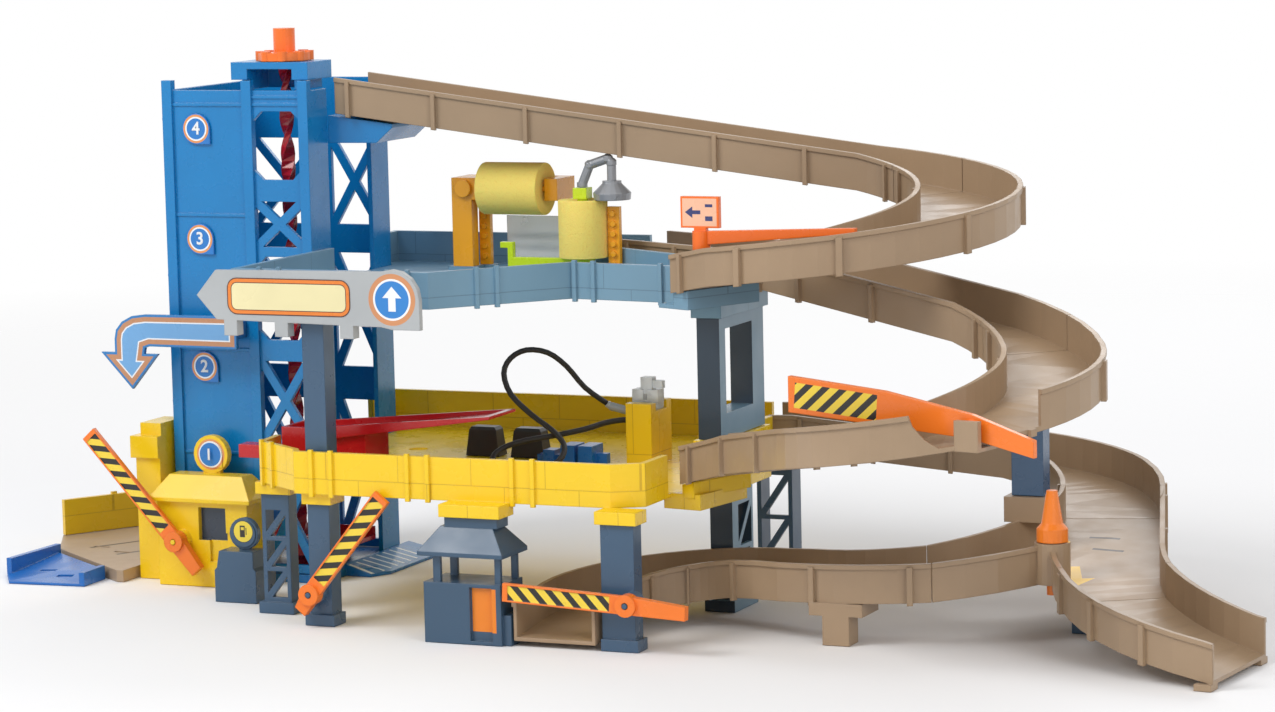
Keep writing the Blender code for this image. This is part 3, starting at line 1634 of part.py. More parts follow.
def make_deck_2(look):
    low = DECK_2_UNDER
    floor = low + DECK_2_FLOOR
    high = DECK_2_TOP
    shares = (
        DECK_2_1_SHARES,
        DECK_2_2_SHARES,
        DECK_2_3_SHARES,
        DECK_2_4_SHARES,
        DECK_2_5_SHARES,
        DECK_2_6_SHARES,
    )
    front = [deck_2_point(share) for share in shares]
    eight = deck_2_point(DECK_2_8_SHARES)
    tower_side = tower_right() + CLEAR
    tower_front = -TOWER_POST_PROUD - CLEAR
    tower_back = TOWER_DEPTH + TOWER_BASE_OUT + CLEAR
    rear = (DECK_2_REAR_LEFT, DECK_2_BACK)
    rear_near = (DECK_2_REAR_LEFT, tower_back)
    beside = (tower_side, tower_front)
    outline = front + [(DECK_2_RIGHT, DECK_2_BACK), rear, rear_near, (tower_side, tower_back), beside]
    bodies = [prism(outline, low, floor)]
    bodies.append(ribbon([beside] + front, DECK_WALL, low, high))
    right_wall_near = (DECK_2_RIGHT, PORTAL_BACK)
    bodies.append(ribbon([right_wall_near, eight], DECK_WALL, low, high))
    back_end = (between(DECK_2_LEFT, DECK_2_RIGHT, DECK_2_BACK_END_SHARE), DECK_2_BACK)
    bodies.append(ribbon([back_end, rear, rear_near], DECK_WALL, low, high))
    line = [beside] + front
    places = [(one, two, share) for one, two, share in DECK_2_RIB_SHARES]
    bodies += rib_pairs(line, places, low - DECK_RIB_ABOVE, high + DECK_RIB_ABOVE)
    under = low - SOCKET_DEEP
    for x, y, wide, deep in column_feet():
        bodies.append(socket(x, y, wide, deep, under, low + FUSE))
    bodies.append(
        socket(PORTAL_X, PORTAL_FRONT, PORTAL_WIDE, PORTAL_BACK - PORTAL_FRONT, under, high)
    )
    stations, marks = track_2_line()
    end = stations[-1]
    wide = TRACK_2_HALF - TRACK_WALL
    bodies.append(ledge(end, LEDGE_LONG, LEDGE_LONG, wide, under, floor))
    bodies.append(mouth_pad(stations, marks, end[3] - LEDGE_LONG, end[3] - CLEAR, wide, low))
    bodies.append(
        block(
            PILLAR_X,
            PILLAR_X + PILLAR_WIDE,
            PILLAR_Y,
            PILLAR_Y + PILLAR_DEEP,
            floor - FUSE,
            floor + PILLAR_TALL,
        )
    )
    rest = PILLAR_X - NOZZLE_RADIUS * 2
    rest_top = between(HOSE_LOW, HOSE_HIGH, HOSE_SHARES[-1][2]) - NOZZLE_RADIUS * 3
    bodies.append(
        block(
            rest,
            PILLAR_X + FUSE,
            HOSE_BACK - NOZZLE_RADIUS,
            HOSE_BACK + NOZZLE_RADIUS,
            floor + PILLAR_TALL / 2,
            rest_top,
        )
    )
    slot_low = floor + CLEAR + DECK_2_FLOOR
    cuts = [
        block(
            DECK_2_LEFT - OVERRUN * 2,
            TIP_BLOCK_LEFT,
            TIP_RAMP_Y - TAB_WIDE / 2 - CLEAR * 2,
            TIP_RAMP_Y + TAB_WIDE / 2 + CLEAR * 2,
            slot_low,
            high + OVERRUN,
        )
    ]
    cuts.append(
        block(
            PILLAR_X - OVERRUN,
            PILLAR_X + PILLAR_WIDE + OVERRUN,
            PILLAR_Y + PILLAR_DEEP / 4 - CLEAR,
            PILLAR_Y + PILLAR_DEEP * 3 / 4 + CLEAR,
            floor + PILLAR_TALL - PILLAR_NOTCH,
            floor + PILLAR_TALL + OVERRUN,
        )
    )
    drain_x = between(DECK_2_LEFT, DECK_2_RIGHT, DRAIN_SHARES[0])
    drain_y = between(DECK_2_FRONT, DECK_2_BACK, DRAIN_SHARES[1])
    cuts.append(rod(drain_x, drain_y, HUB_HOLE, floor - DECK_2_FLOOR / 2, floor + OVERRUN, sides=SMALL_SIDES))
    ears = []
    for side in (-1, 1):
        face = TIP_RAMP_Y + side * (TIP_RAMP_WIDE / 2 + CLEAR)
        far = face + side * TAB_TALL / 2
        top = floor + TIP_RAMP_LIFT
        ears.append(
            block(
                TIP_PIN_X - TAB_TALL / 2,
                TIP_PIN_X + TAB_TALL / 2,
                min(face, far),
                max(face, far),
                floor - FUSE,
                top,
            )
        )
        pin_near = face - side * TIP_PIN_RADIUS
        ears.append(
            rod(
                TIP_PIN_X,
                floor + TIP_RAMP_LIFT - TIP_PIN_RADIUS * 2,
                TIP_PIN_RADIUS,
                min(pin_near, face + side * FUSE),
                max(pin_near, face + side * FUSE),
                "y",
                SMALL_SIDES,
            )
        )
    bodies += ears
    finish("deck_2", joined(bodies, cuts), look, smooth=False)


DRAIN_SHARES = (0.17, 0.62)
HUB_HOLE = 0.005


# Columns


def column_feet():
    """Corners and sizes of the columns that end under deck 2."""
    return (
        (COLUMN_X, COLUMN_FRONT, COLUMN_WIDE, COLUMN_DEEP),
        (CORNER_X, CORNER_FRONT, CORNER_WIDE, CORNER_DEEP),
        (SLIM_X, SLIM_FRONT, SLIM_WIDE, SLIM_DEEP),
        (REAR_X, REAR_FRONT, REAR_WIDE, REAR_DEEP),
        (
            GAS_LEFT + GAS_WIDE * GAS_NECK_SHARES[0],
            GAS_FRONT + GAS_DEEP / 4,
            GAS_WIDE * GAS_NECK_SHARES[1],
            GAS_DEEP / 2,
        ),
    )


def make_column(name, x, y, wide, deep, low, high, look, seat=True):
    """A column with a recess behind and, where it stands on the ground, a foot and a barrier's pin."""
    bodies = [block(x, x + wide, y, y + deep, low, high)]
    if seat:
        bodies += barrier_pin(FRONT_BARRIER_X, FRONT_BARRIER_Y, FRONT_BARRIER_Z, y)
        bodies.append(
            block(x - SOCKET_OUT, x + wide + SOCKET_OUT, y - SOCKET_OUT, y + deep, low, low + SOCKET_DEEP),
        )
    cuts = []
    for share_low, share_high in COLUMN_PANEL_SHARES:
        cuts.append(
            block(
                x + COLUMN_SKIN,
                x + wide - COLUMN_SKIN,
                y + deep - COLUMN_SKIN / 2,
                y + deep + OVERRUN,
                between(low, high, share_low),
                between(low, high, share_high),
            )
        )
    finish(name, joined(bodies, cuts), look, smooth=False)


COLUMN_PANEL_SHARES = ((0.15, 0.92),)


def make_lattice_column(name, x, y, wide, deep, low, high, bays, look):
    """A column open through its sides with X bars."""
    bodies = [block(x, x + wide, y, y + deep, low, high)]
    bodies.append(
        block(x - SOCKET_OUT, x + wide + SOCKET_OUT, y - SOCKET_OUT, y + deep, low, low + SOCKET_DEEP),
    )
    hollow = block(
        x + COLUMN_SKIN,
        x + wide - COLUMN_SKIN,
        y + COLUMN_SKIN,
        y + deep + OVERRUN,
        low + SOCKET_DEEP,
        high - SOCKET_DEEP,
    )
    joined(bodies, [hollow])
    cuts = []
    left = x + COLUMN_SKIN
    right = x + wide - COLUMN_SKIN
    start = low + SOCKET_DEEP + COLUMN_SKIN
    end = high - SOCKET_DEEP
    for bay in range(bays):
        bay_low = between(start, end, bay / bays)
        bay_high = between(start, end, (bay + 1) / bays) - COLUMN_SKIN
        cuts += slim_bay(left, right, bay_low, bay_high, y - OVERRUN, y + COLUMN_SKIN + FUSE)
    combine(bodies[0], cuts, "DIFFERENCE")
    finish(name, bodies[0], look, smooth=False)


def slim_bay(left, right, low, high, near, far):
    """Two triangles that leave one slanting bar in a bay."""
    bar_wide = COLUMN_SKIN
    return [
        prism([(left, low + bar_wide), (right - bar_wide, high), (left, high)], near, far, "y"),
        prism([(left + bar_wide, low), (right, low), (right, high - bar_wide)], near, far, "y"),
    ]


def make_columns(look):
    under = DECK_2_UNDER - SOCKET_DEEP - CLEAR
    make_column("column_front_lower", COLUMN_X, COLUMN_FRONT, COLUMN_WIDE, COLUMN_DEEP, 0, under, look)
    upper_low = DECK_2_UNDER + DECK_2_FLOOR + CLEAR
    upper_high = DECK_3_UNDER - SOCKET_DEEP - CLEAR
    make_column(
        "column_front_upper",
        COLUMN_X,
        COLUMN_FRONT,
        COLUMN_WIDE,
        COLUMN_DEEP,
        upper_low,
        upper_high,
        look,
        False,
    )
    make_lattice_column("column_slim", SLIM_X, SLIM_FRONT, SLIM_WIDE, SLIM_DEEP, 0, under, 3, look)
    make_lattice_column("column_rear", REAR_X, REAR_FRONT, REAR_WIDE, REAR_DEEP, 0, under, 2, look)


def make_corner_column(look):
    """The column at the front right, with the pin of the exit barrier."""
    under = DECK_2_UNDER - SOCKET_DEEP - CLEAR
    x = CORNER_X
    y = CORNER_FRONT
    bodies = [block(x, x + CORNER_WIDE, y, y + CORNER_DEEP, 0, under)]
    bodies.append(block(x, x + CORNER_WIDE + SOCKET_OUT, y - SOCKET_OUT, y + CORNER_DEEP, 0, SOCKET_DEEP))
    bodies += barrier_pin(EXIT_BARRIER_X, EXIT_BARRIER_Y, EXIT_BARRIER_Z, y)
    finish("column_corner", joined(bodies), look, smooth=False)


def barrier_pin(x, y, z, wall):
    """The boss and the pin in front of a wall that carry a barrier."""
    return [
        rod(x, z, BARRIER_HUB, y + hub_reach(), wall + FUSE, "y"),
        rod(x, z, BARRIER_PIN, y - hub_reach(), wall + FUSE, "y", SMALL_SIDES),
    ]


def hub_reach():
    """Half a barrier hub with its side clearance."""
    return BARRIER_HUB_THICK / 2 + CLEAR


def make_portal(look):
    """The upright frame between the decks, with a window and a stepped front edge."""
    low = DECK_2_TOP + CLEAR
    high = DECK_3_UNDER - PORTAL_BLOCK_TALL - CLEAR
    left = PORTAL_X
    right = PORTAL_X + PORTAL_WIDE
    body = block(left, right, PORTAL_FRONT, PORTAL_BACK, low, high)
    window = block(
        left - OVERRUN,
        right + OVERRUN,
        PORTAL_FRONT + PORTAL_BAR,
        PORTAL_BACK - PORTAL_BAR * 2,
        low + PORTAL_PLINTH,
        high - PORTAL_HEAD,
    )
    finish("portal_upper", joined([body], [window]), look, smooth=False)
    front = PORTAL_FOOT_FRONT
    back = front + PORTAL_FOOT_DEEP
    top = DECK_2_UNDER - SOCKET_DEEP - CLEAR
    bodies = [block(left, right, front, back, 0, top)]
    bodies.append(block(left - SOCKET_OUT, right + SOCKET_OUT, front - SOCKET_OUT * 2, back, 0, SOCKET_DEEP))
    hollow = block(
        left - OVERRUN,
        right - COLUMN_SKIN,
        front + PORTAL_BAR,
        back - COLUMN_SKIN,
        SOCKET_DEEP,
        top - SOCKET_DEEP,
    )
    joined(bodies, [hollow])
    cuts = []
    start = SOCKET_DEEP + COLUMN_SKIN
    end = top - SOCKET_DEEP
    for bay in range(2):
        bay_low = between(start, end, bay / 2)
        bay_high = between(start, end, (bay + 1) / 2) - COLUMN_SKIN
        for one in (
            [
                (front + PORTAL_BAR, bay_low + COLUMN_SKIN),
                (back - COLUMN_SKIN * 2, bay_high),
                (front + PORTAL_BAR, bay_high),
            ],
            [
                (front + PORTAL_BAR + COLUMN_SKIN, bay_low),
                (back - COLUMN_SKIN, bay_low),
                (back - COLUMN_SKIN, bay_high - COLUMN_SKIN),
            ],
        ):
            cuts.append(prism(one, right - COLUMN_SKIN - FUSE, right + OVERRUN, "x"))
    combine(bodies[0], cuts, "DIFFERENCE")
    finish("portal_lower", bodies[0], look, smooth=False)


def prop_place():
    """The sides of the prop, the top of the wall under it and the underside of the track over it."""
    stations, marks, _ = left_line()
    distance = nearest_distance(stations, PROP_X, PROP_Y)
    wall_top = height_at(marks, max(distance - PROP_WIDE, 0))
    upper, upper_marks = track_2_line()
    over = nearest_distance(upper, PROP_X, PROP_Y)
    under = height_at(upper_marks, over + PROP_WIDE) - TRACK_TALL - RIB_BELOW - CLEAR
    sides = (PROP_X - PROP_WIDE / 2, PROP_X + PROP_WIDE / 2, PROP_Y - PROP_DEEP / 2, PROP_Y + PROP_DEEP / 2)
    return sides, wall_top, under, station_at(upper, over)[1]


def prop_seat():
    """The cup on the track's wall that holds the prop."""
    (left, right, near, far), wall_top, _, _ = prop_place()
    lip = PROP_SEAT_LIP
    low = wall_top - PROP_SEAT_TALL / 2
    return block(left - lip, right + lip, near - lip, far + lip, low, wall_top + PROP_SEAT_TALL)


def make_prop(look):
    (left, right, near, far), wall_top, under, arm_y = prop_place()
    prop = block(left, right, near, far, wall_top + PROP_SEAT_TALL + CLEAR, under)
    arm = block(left, right, min(arm_y, near), far, under - PROP_ARM_TALL, under)
    finish("prop", joined([prop, arm]), look, smooth=False)


def make_fork_stub(look):
    stations, marks, _ = exit_line()
    distance = nearest_distance(stations, STUB_X, STUB_Y)
    top = height_at(marks, distance + STUB_DEEP) - TRACK_TALL - RIB_BELOW - CLEAR
    half_x = STUB_WIDE / 2
    half_y = STUB_DEEP / 2
    stub = block(STUB_X - half_x, STUB_X + half_x, STUB_Y - half_y, STUB_Y + half_y, 0, top)
    finish("fork_stub", stub, look, smooth=False)


def branch_leg():
    """The leg of the left branch, with its brace under the track."""
    stations, marks, _ = left_line()
    distance = nearest_distance(stations, LEG_X, LEG_Y)
    top = height_at(marks, distance + LEG_WIDE) - TRACK_TALL + TRACK_FLOOR / 2
    far = station_at(stations, distance)[1]
    foot = block(LEG_X - LEG_WIDE / 2, LEG_X + LEG_WIDE / 2, LEG_Y, LEG_Y + LEG_DEEP, 0, top)
    brace = block(LEG_X - LEG_WIDE, LEG_X + LEG_WIDE, LEG_Y, far, top - PROP_ARM_TALL, top)
    return [foot, brace]


def nearest_distance(stations, x, y):
    """How far along the line the point lies."""
    best = min(stations, key=lambda station: math.hypot(station[0] - x, station[1] - y))
    return best[3]


# Signs and badges

ARROW_SHARES = (
    (1.0, 1.0),
    (0.33, 0.993),
    (0.234, 0.967),
    (0.16, 0.89),
    (0.115, 0.78),
    (0.103, 0.66),
    (0.103, 0.483),
    (0.0, 0.483),
    (0.224, 0.0),
    (0.42, 0.473),
    (0.318, 0.473),
    (0.325, 0.55),
    (0.36, 0.573),
    (1.0, 0.567),
)
SIGN_SHARES = (
    (0.0, 0.5),
    (0.10, 0.06),
    (0.86, 0.0),
    (1.0, 0.0),
    (1.0, 1.0),
    (0.86, 1.0),
    (0.10, 0.97),
)
SIGN_CLIP_SHARES = (0.17, 0.43, 0.76)
ARROW_STAND_SHARES = (0.80, 0.96)


def teardrop(x, z, radius):
    """A disc whose lower right quarter is squared off."""
    outline = []
    for side in range(SMALL_SIDES + 1):
        angle = BADGE_ARC_SHARE * math.pi * side / SMALL_SIDES
        outline.append((x + radius * math.cos(angle), z + radius * math.sin(angle)))
    outline.append((x + radius, z - radius))
    return outline


def make_badges(look):
    for name, z in (("badge_4", BADGE_4_Z), ("badge_3", BADGE_3_Z), ("badge_2", BADGE_2_Z)):
        plate = prism(teardrop(BADGE_X, z, BADGE_RADIUS), -CLEAR - BADGE_THICK, -CLEAR, "y")
        finish(name, plate, look)


def make_arrow_sign(look):
    far = -TOWER_POST_PROUD - CLEAR - ARROW_AWAY
    outline = spread(ARROW_SHARES, ARROW_LEFT, ARROW_RIGHT, ARROW_LOW, ARROW_HIGH)
    plate = prism(outline, far - ARROW_THICK, far, "y")
    low = between(ARROW_LOW, ARROW_HIGH, ARROW_SHARES[-1][1])
    stand = block(
        between(ARROW_LEFT, ARROW_RIGHT, ARROW_STAND_SHARES[0]),
        between(ARROW_LEFT, ARROW_RIGHT, ARROW_STAND_SHARES[1]),
        far - FUSE,
        -CLEAR,
        between(low, ARROW_HIGH, 0.25),
        between(low, ARROW_HIGH, 0.75),
    )
    finish("arrow_sign", joined([plate, stand]), look, smooth=False)


def sign_back():
    return COLUMN_FRONT - SOCKET_OUT - CLEAR


def make_big_sign(look):
    far = sign_back()
    near = far - SIGN_THICK
    outline = spread(SIGN_SHARES, SIGN_LEFT, SIGN_RIGHT, SIGN_LOW, SIGN_HIGH)
    middle = (SIGN_LOW + SIGN_HIGH) / 2
    bodies = [prism(outline, near, far, "y")]
    bodies.append(prism(teardrop(SIGN_BADGE_X, middle, SIGN_BADGE_RADIUS), near, far, "y"))
    for share in SIGN_CLIP_SHARES:
        x = between(SIGN_LEFT, SIGN_RIGHT, share)
        left = x - SIGN_CLIP_WIDE / 2
        right = x + SIGN_CLIP_WIDE / 2
        low = DECK_3_UNDER
        bodies.append(
            block(left, right, far - FUSE, DECK_3_FRONT - CLEAR - DECK_RIB_OUT, low, low + SIGN_CLIP_DROP),
        )
        bodies.append(
            block(
                left,
                right,
                far - SIGN_THICK,
                far + SIGN_CLIP_DROP / 2,
                SIGN_LOW - SIGN_CLIP_DROP,
                low + FUSE,
            ),
        )
    finish("big_sign", joined(bodies), look, smooth=False)


# Ground level pieces

BOOTH_SIGN_SHARE = 0.48
BOOTH_WINDOW_SHARES = (0.46, 0.76, 0.55, 0.93)
BOOTH_PANEL_SHARES = (0.58, 0.80, 0.30, 0.64)
BOOTH_ROOF_SHARE = 0.30
ANNEX_CAP_SHARES = (0.78, 0.92)


def booth_sign_y():
    return BOOTH_FRONT / 2


def hip_roof(left, right, near, far, low, high, share):
    """A roof with four slopes and a flat top."""
    inset = (far - near) * share
    rings = []
    for grow, z in ((0, low), (0, between(low, high, share / 2)), (inset, high)):
        rings.append(
            [(x, y, z) for x, y in rectangle(left + grow, right - grow, near + grow, far - grow)]
        )
    return loft(rings)


def make_booth(look):
    left = BOOTH_LEFT
    right = left + BOOTH_WIDE
    near = BOOTH_FRONT
    far = -TOWER_POST_PROUD - CLEAR
    tall = BOOTH_TALL
    bodies = [block(left, right, near, far, 0, tall)]
    bodies.append(
        hip_roof(
            left - BOOTH_EAVE,
            right + BOOTH_EAVE,
            near - BOOTH_EAVE,
            far,
            tall - FUSE,
            tall + BOOTH_ROOF_TALL,
            BOOTH_ROOF_SHARE,
        )
    )
    sign_x = left + BOOTH_WIDE * BOOTH_SIGN_SHARE
    sign_y = booth_sign_y()
    sign_low = tall + BOOTH_ROOF_TALL / 2
    bodies.append(rod(sign_x, BOOTH_SIGN_Z, BOOTH_SIGN_RADIUS, sign_y, sign_y + BOOTH_SIGN_THICK, "y"))
    plate = prism(
        teardrop(sign_x, BOOTH_SIGN_Z, BADGE_RADIUS - BADGE_THICK),
        sign_y - BADGE_THICK / 2,
        sign_y + FUSE,
        "y",
    )
    bodies.append(plate)
    half = BOOTH_SIGN_RADIUS / 2
    bodies.append(
        block(
            sign_x - half,
            sign_x + half,
            sign_y + FUSE,
            sign_y + BOOTH_SIGN_THICK - FUSE,
            sign_low,
            BOOTH_SIGN_Z,
        )
    )
    annex_right = TOWER_LEFT - TOWER_BASE_OUT - CLEAR
    annex_left = annex_right - BOOTH_ANNEX_WIDE
    annex_far = LIFT_DOOR_NEAR - TOWER_POST
    cap_low = BOOTH_ANNEX_TALL * ANNEX_CAP_SHARES[0]
    cap_high = BOOTH_ANNEX_TALL * ANNEX_CAP_SHARES[1]
    bodies.append(block(annex_left, annex_right, near / 2, annex_far, 0, cap_low + FUSE))
    bodies.append(
        block(annex_left - SOCKET_OUT, annex_right, near / 2 - SOCKET_OUT, annex_far, cap_low, cap_high)
    )
    bodies.append(
        block(
            annex_left + SOCKET_OUT,
            annex_right,
            near / 2 + SOCKET_OUT,
            annex_far,
            cap_high - FUSE,
            BOOTH_ANNEX_TALL,
        )
    )
    bodies.append(block(annex_right - FUSE, left + FUSE, near / 2, far, 0, tall))
    bodies += barrier_pin(LEFT_BARRIER_X, LEFT_BARRIER_Y, LEFT_BARRIER_Z, near)
    cuts = []
    for shares, deep in ((BOOTH_WINDOW_SHARES, BOOTH_WINDOW_DEEP), (BOOTH_PANEL_SHARES, BOOTH_WINDOW_DEEP / 2)):
        cuts.append(
            block(
                between(left, right, shares[0]),
                between(left, right, shares[1]),
                near - OVERRUN,
                near + deep,
                tall * shares[2],
                tall * shares[3],
            )
        )
    finish("ground_booth", joined(bodies, cuts), look)


PLATE_LEFT_SHARES = (0.0, 0.623)
PLATE_REAR_SHARES = (0.317, 1.0)
PLATE_RAMP_SHARES = (0.202, 0.348)
PLATE_NOSE_SHARES = (0.808, 0.0)
RAMP_SHARES = ((0.03, 0.993), (0.0, 0.30), (0.24, 0.0), (1.0, 0.05), (0.982, 0.386))
RAMP_SLOT_SHARES = ((0.30, 0.36), (0.58, 0.22))
PLATE_SLOT_SHARES = ((0.34, 0.42), (0.52, 0.34), (0.62, 0.56))


def plate_point(shares):
    return (
        between(PLATE_LEFT, PLATE_RIGHT, shares[0]),
        between(PLATE_FRONT, PLATE_BACK, shares[1]),
    )


def make_ground_plate(look, yellow):
    annex_right = TOWER_LEFT - TOWER_BASE_OUT - CLEAR
    annex_left = annex_right - BOOTH_ANNEX_WIDE - SOCKET_OUT - CLEAR
    annex_far = LIFT_DOOR_NEAR - TOWER_POST + CLEAR
    left = plate_point(PLATE_LEFT_SHARES)
    rear = plate_point(PLATE_REAR_SHARES)
    outline = [
        left,
        plate_point(PLATE_RAMP_SHARES),
        plate_point(PLATE_NOSE_SHARES),
        (annex_left, PLATE_FRONT),
        (annex_left, annex_far),
        (PLATE_RIGHT, annex_far),
        (PLATE_RIGHT, PLATE_BACK),
        rear,
    ]
    plate = prism(outline, 0, PLATE_TALL)
    cuts = []
    for shares in PLATE_SLOT_SHARES:
        x, y = plate_point(shares)
        cuts.append(block(x, x + CURB_TALL / 2, y, y + CURB_WALL, PLATE_TALL / 2, PLATE_TALL + OVERRUN))
    finish("ground_plate", joined([plate], cuts), look, smooth=False)
    low = PLATE_TALL + CLEAR
    line = [(PLATE_RIGHT, PLATE_BACK), rear, left]
    curb = [ribbon(line, CURB_WALL, low, low + CURB_TALL)]
    for one, two, share in ((0, 1, 0.2), (0, 1, 0.8), (1, 2, 0.5)):
        curb.append(
            rib_on(
                line[two],
                line[one],
                share,
                CURB_WALL,
                DECK_RIB_OUT,
                low,
                low + CURB_TALL + DECK_RIB_ABOVE,
            ),
        )
    finish("curb", joined(curb), yellow, smooth=False)


def make_entry_ramp(look):
    points = spread(RAMP_SHARES, RAMP_LEFT, RAMP_RIGHT, RAMP_FRONT, RAMP_BACK)
    low = RAMP_TALL / 4
    tops = [RAMP_TALL, low, low, low, RAMP_TALL]
    rings = [[(x, y, 0) for x, y in points]]
    rings.append([(point[0], point[1], top) for point, top in zip(points, tops)])
    bodies = [loft(rings)]
    wall = RAMP_CHEEK_WALL
    bodies.append(ribbon([points[0], points[1]], wall, 0, RAMP_TALL + RAMP_CHEEK))
    bodies.append(ribbon([points[3], points[4]], wall, 0, RAMP_TALL + RAMP_CHEEK / 2))
    cuts = []
    for one, two in RAMP_SLOT_SHARES:
        x = between(RAMP_LEFT, RAMP_RIGHT, one)
        y = between(RAMP_FRONT, RAMP_BACK, two)
        cuts.append(block(x, x + CURB_TALL / 2, y, y + wall, low / 2, RAMP_TALL + OVERRUN))
    finish("entry_ramp", joined(bodies, cuts), look, smooth=False)


PUMP_SHARES = (
    (0.0, 0.0),
    (1.0, 0.0),
    (1.0, 0.62),
    (0.94, 0.68),
    (0.94, 1.0),
    (0.12, 1.0),
    (0.06, 0.68),
    (0.0, 0.62),
)
PUMP_SIGN_SHARE = 0.62


def make_fuel_pump(look):
    left = PUMP_LEFT
    right = left + PUMP_WIDE
    near = PUMP_FRONT
    far = near + PUMP_DEEP
    bodies = [prism(spread(PUMP_SHARES, left, right, 0, PUMP_TALL), near, far, "y")]
    sign_x = between(left, right, PUMP_SIGN_SHARE)
    sign_z = PUMP_TALL + PUMP_SIGN_RADIUS + PUMP_SIGN_THICK / 2
    middle = (near + far) / 2
    sign_near = middle - PUMP_SIGN_THICK / 2
    sign_far = middle + PUMP_SIGN_THICK / 2
    bodies.append(rod(sign_x, sign_z, PUMP_SIGN_RADIUS + BADGE_THICK, sign_near, sign_far, "y"))
    neck = PUMP_SIGN_THICK
    bodies.append(
        block(sign_x - neck, sign_x + neck, sign_near + FUSE, sign_far - FUSE, PUMP_TALL - FUSE, sign_z),
    )
    bodies.append(rod(sign_x, sign_z, PUMP_SIGN_RADIUS, sign_near - BADGE_THICK / 2, sign_near + FUSE, "y"))
    finish("fuel_pump", joined(bodies), look)


GAS_NECK_SHARES = (0.20, 0.62)
GAS_DOOR_SHARES = (0.54, 0.80, 0.06, 0.94)
GAS_PILLAR_SHARES = ((0.10, 0.20), (0.86, 0.98))


def make_gas_booth(look):
    left = GAS_LEFT
    right = left + GAS_WIDE
    near = GAS_FRONT
    far = near + GAS_DEEP
    tall = GAS_BODY_TALL
    top = tall + GAS_ROOF_TALL
    bodies = [block(left, right - GAS_WALL * 2, near, far, 0, GAS_SILL)]
    bodies.append(block(right - GAS_WALL * 2 - FUSE, right, near + GAS_WALL, far, 0, GAS_SILL / 2))
    for low, high in GAS_PILLAR_SHARES:
        pillar_left = between(left, right - GAS_WALL, low)
        pillar_right = between(left, right - GAS_WALL * 2, high)
        for start in (near + GAS_WALL, far - GAS_WALL * 2):
            bodies.append(
                block(pillar_left, pillar_right, start, start + GAS_WALL, GAS_SILL - FUSE, tall + FUSE),
            )
    bodies.append(
        hip_roof(
            left - GAS_WALL,
            right - GAS_WALL,
            near - GAS_WALL,
            far + GAS_WALL,
            tall,
            top,
            BOOTH_ROOF_SHARE,
        )
    )
    neck_left = left + GAS_WIDE * GAS_NECK_SHARES[0]
    neck_top = DECK_2_UNDER - SOCKET_DEEP - CLEAR
    bodies.append(
        block(
            neck_left,
            neck_left + GAS_WIDE * GAS_NECK_SHARES[1],
            near + GAS_DEEP / 4,
            near + GAS_DEEP * 3 / 4,
            top - FUSE,
            neck_top,
        )
    )
    shares = GAS_DOOR_SHARES
    door_left = between(left, right, shares[0])
    door_right = between(left, right, shares[1])
    door_low = GAS_SILL * shares[2]
    door_high = GAS_SILL * shares[3]
    cut = block(door_left, door_right, near - OVERRUN, near + GAS_WALL, door_low, door_high)
    finish("gas_booth", joined(bodies, [cut]), look, smooth=False)


# Car wash

PIPE_SHARES = ((0.0, 0.0), (0.27, 0.75), (0.88, 1.0), (1.0, 0.85), (1.0, 0.1))
PIPE_REACH = 0.016
PIPE_RISE = 0.0130
SHOWER_RADIUS = 0.0095
SHOWER_TALL = 0.0085
BOSS_RADIUS = 0.0045


def make_wash_frame(look):
    """The post and the beam round the back of the horizontal roller, with its two axle pins."""
    low = DECK_3_UNDER + DECK_3_FLOOR + CLEAR
    left = WASH_X
    near = WASH_Y - WASH_POST_DEEP / 2
    far = WASH_Y + WASH_POST_DEEP / 2
    back = WASH_Y + ROLLER_RADIUS + WASH_ARM_THICK / 4
    right = ROLLER_X + ROLLER_LONG / 2 + CLEAR * 2
    end = right + WASH_POST_DEEP
    roller_left = ROLLER_X - ROLLER_LONG / 2 - CLEAR * 2
    bodies = [block(left, left + WASH_POST_WIDE, near, far, low, WASH_ARM_HIGH)]
    bodies.append(block(left, roller_left, near, back + WASH_ARM_THICK, WASH_ARM_LOW, WASH_ARM_HIGH))
    bodies.append(block(left, end, back, back + WASH_ARM_THICK, WASH_ARM_LOW, WASH_ARM_HIGH))
    bodies.append(block(right, end, near, back + WASH_ARM_THICK, WASH_ARM_LOW, WASH_ARM_HIGH))
    boss_x = left + WASH_POST_WIDE * WASH_BOSS_SHARE
    bodies.append(rod(boss_x, ROLLER_Z, BOSS_RADIUS, near - SOCKET_OUT, near + FUSE, "y"))
    pin = ROLLER_BORE - CLEAR * 2
    reach = ROLLER_LONG / 4
    bodies.append(rod(WASH_Y, ROLLER_Z, pin, roller_left - FUSE, roller_left + reach, "x", SMALL_SIDES))
    bodies.append(rod(WASH_Y, ROLLER_Z, pin, right - reach, right + FUSE, "x", SMALL_SIDES))
    finish("wash_frame", joined(bodies), look, smooth=False)


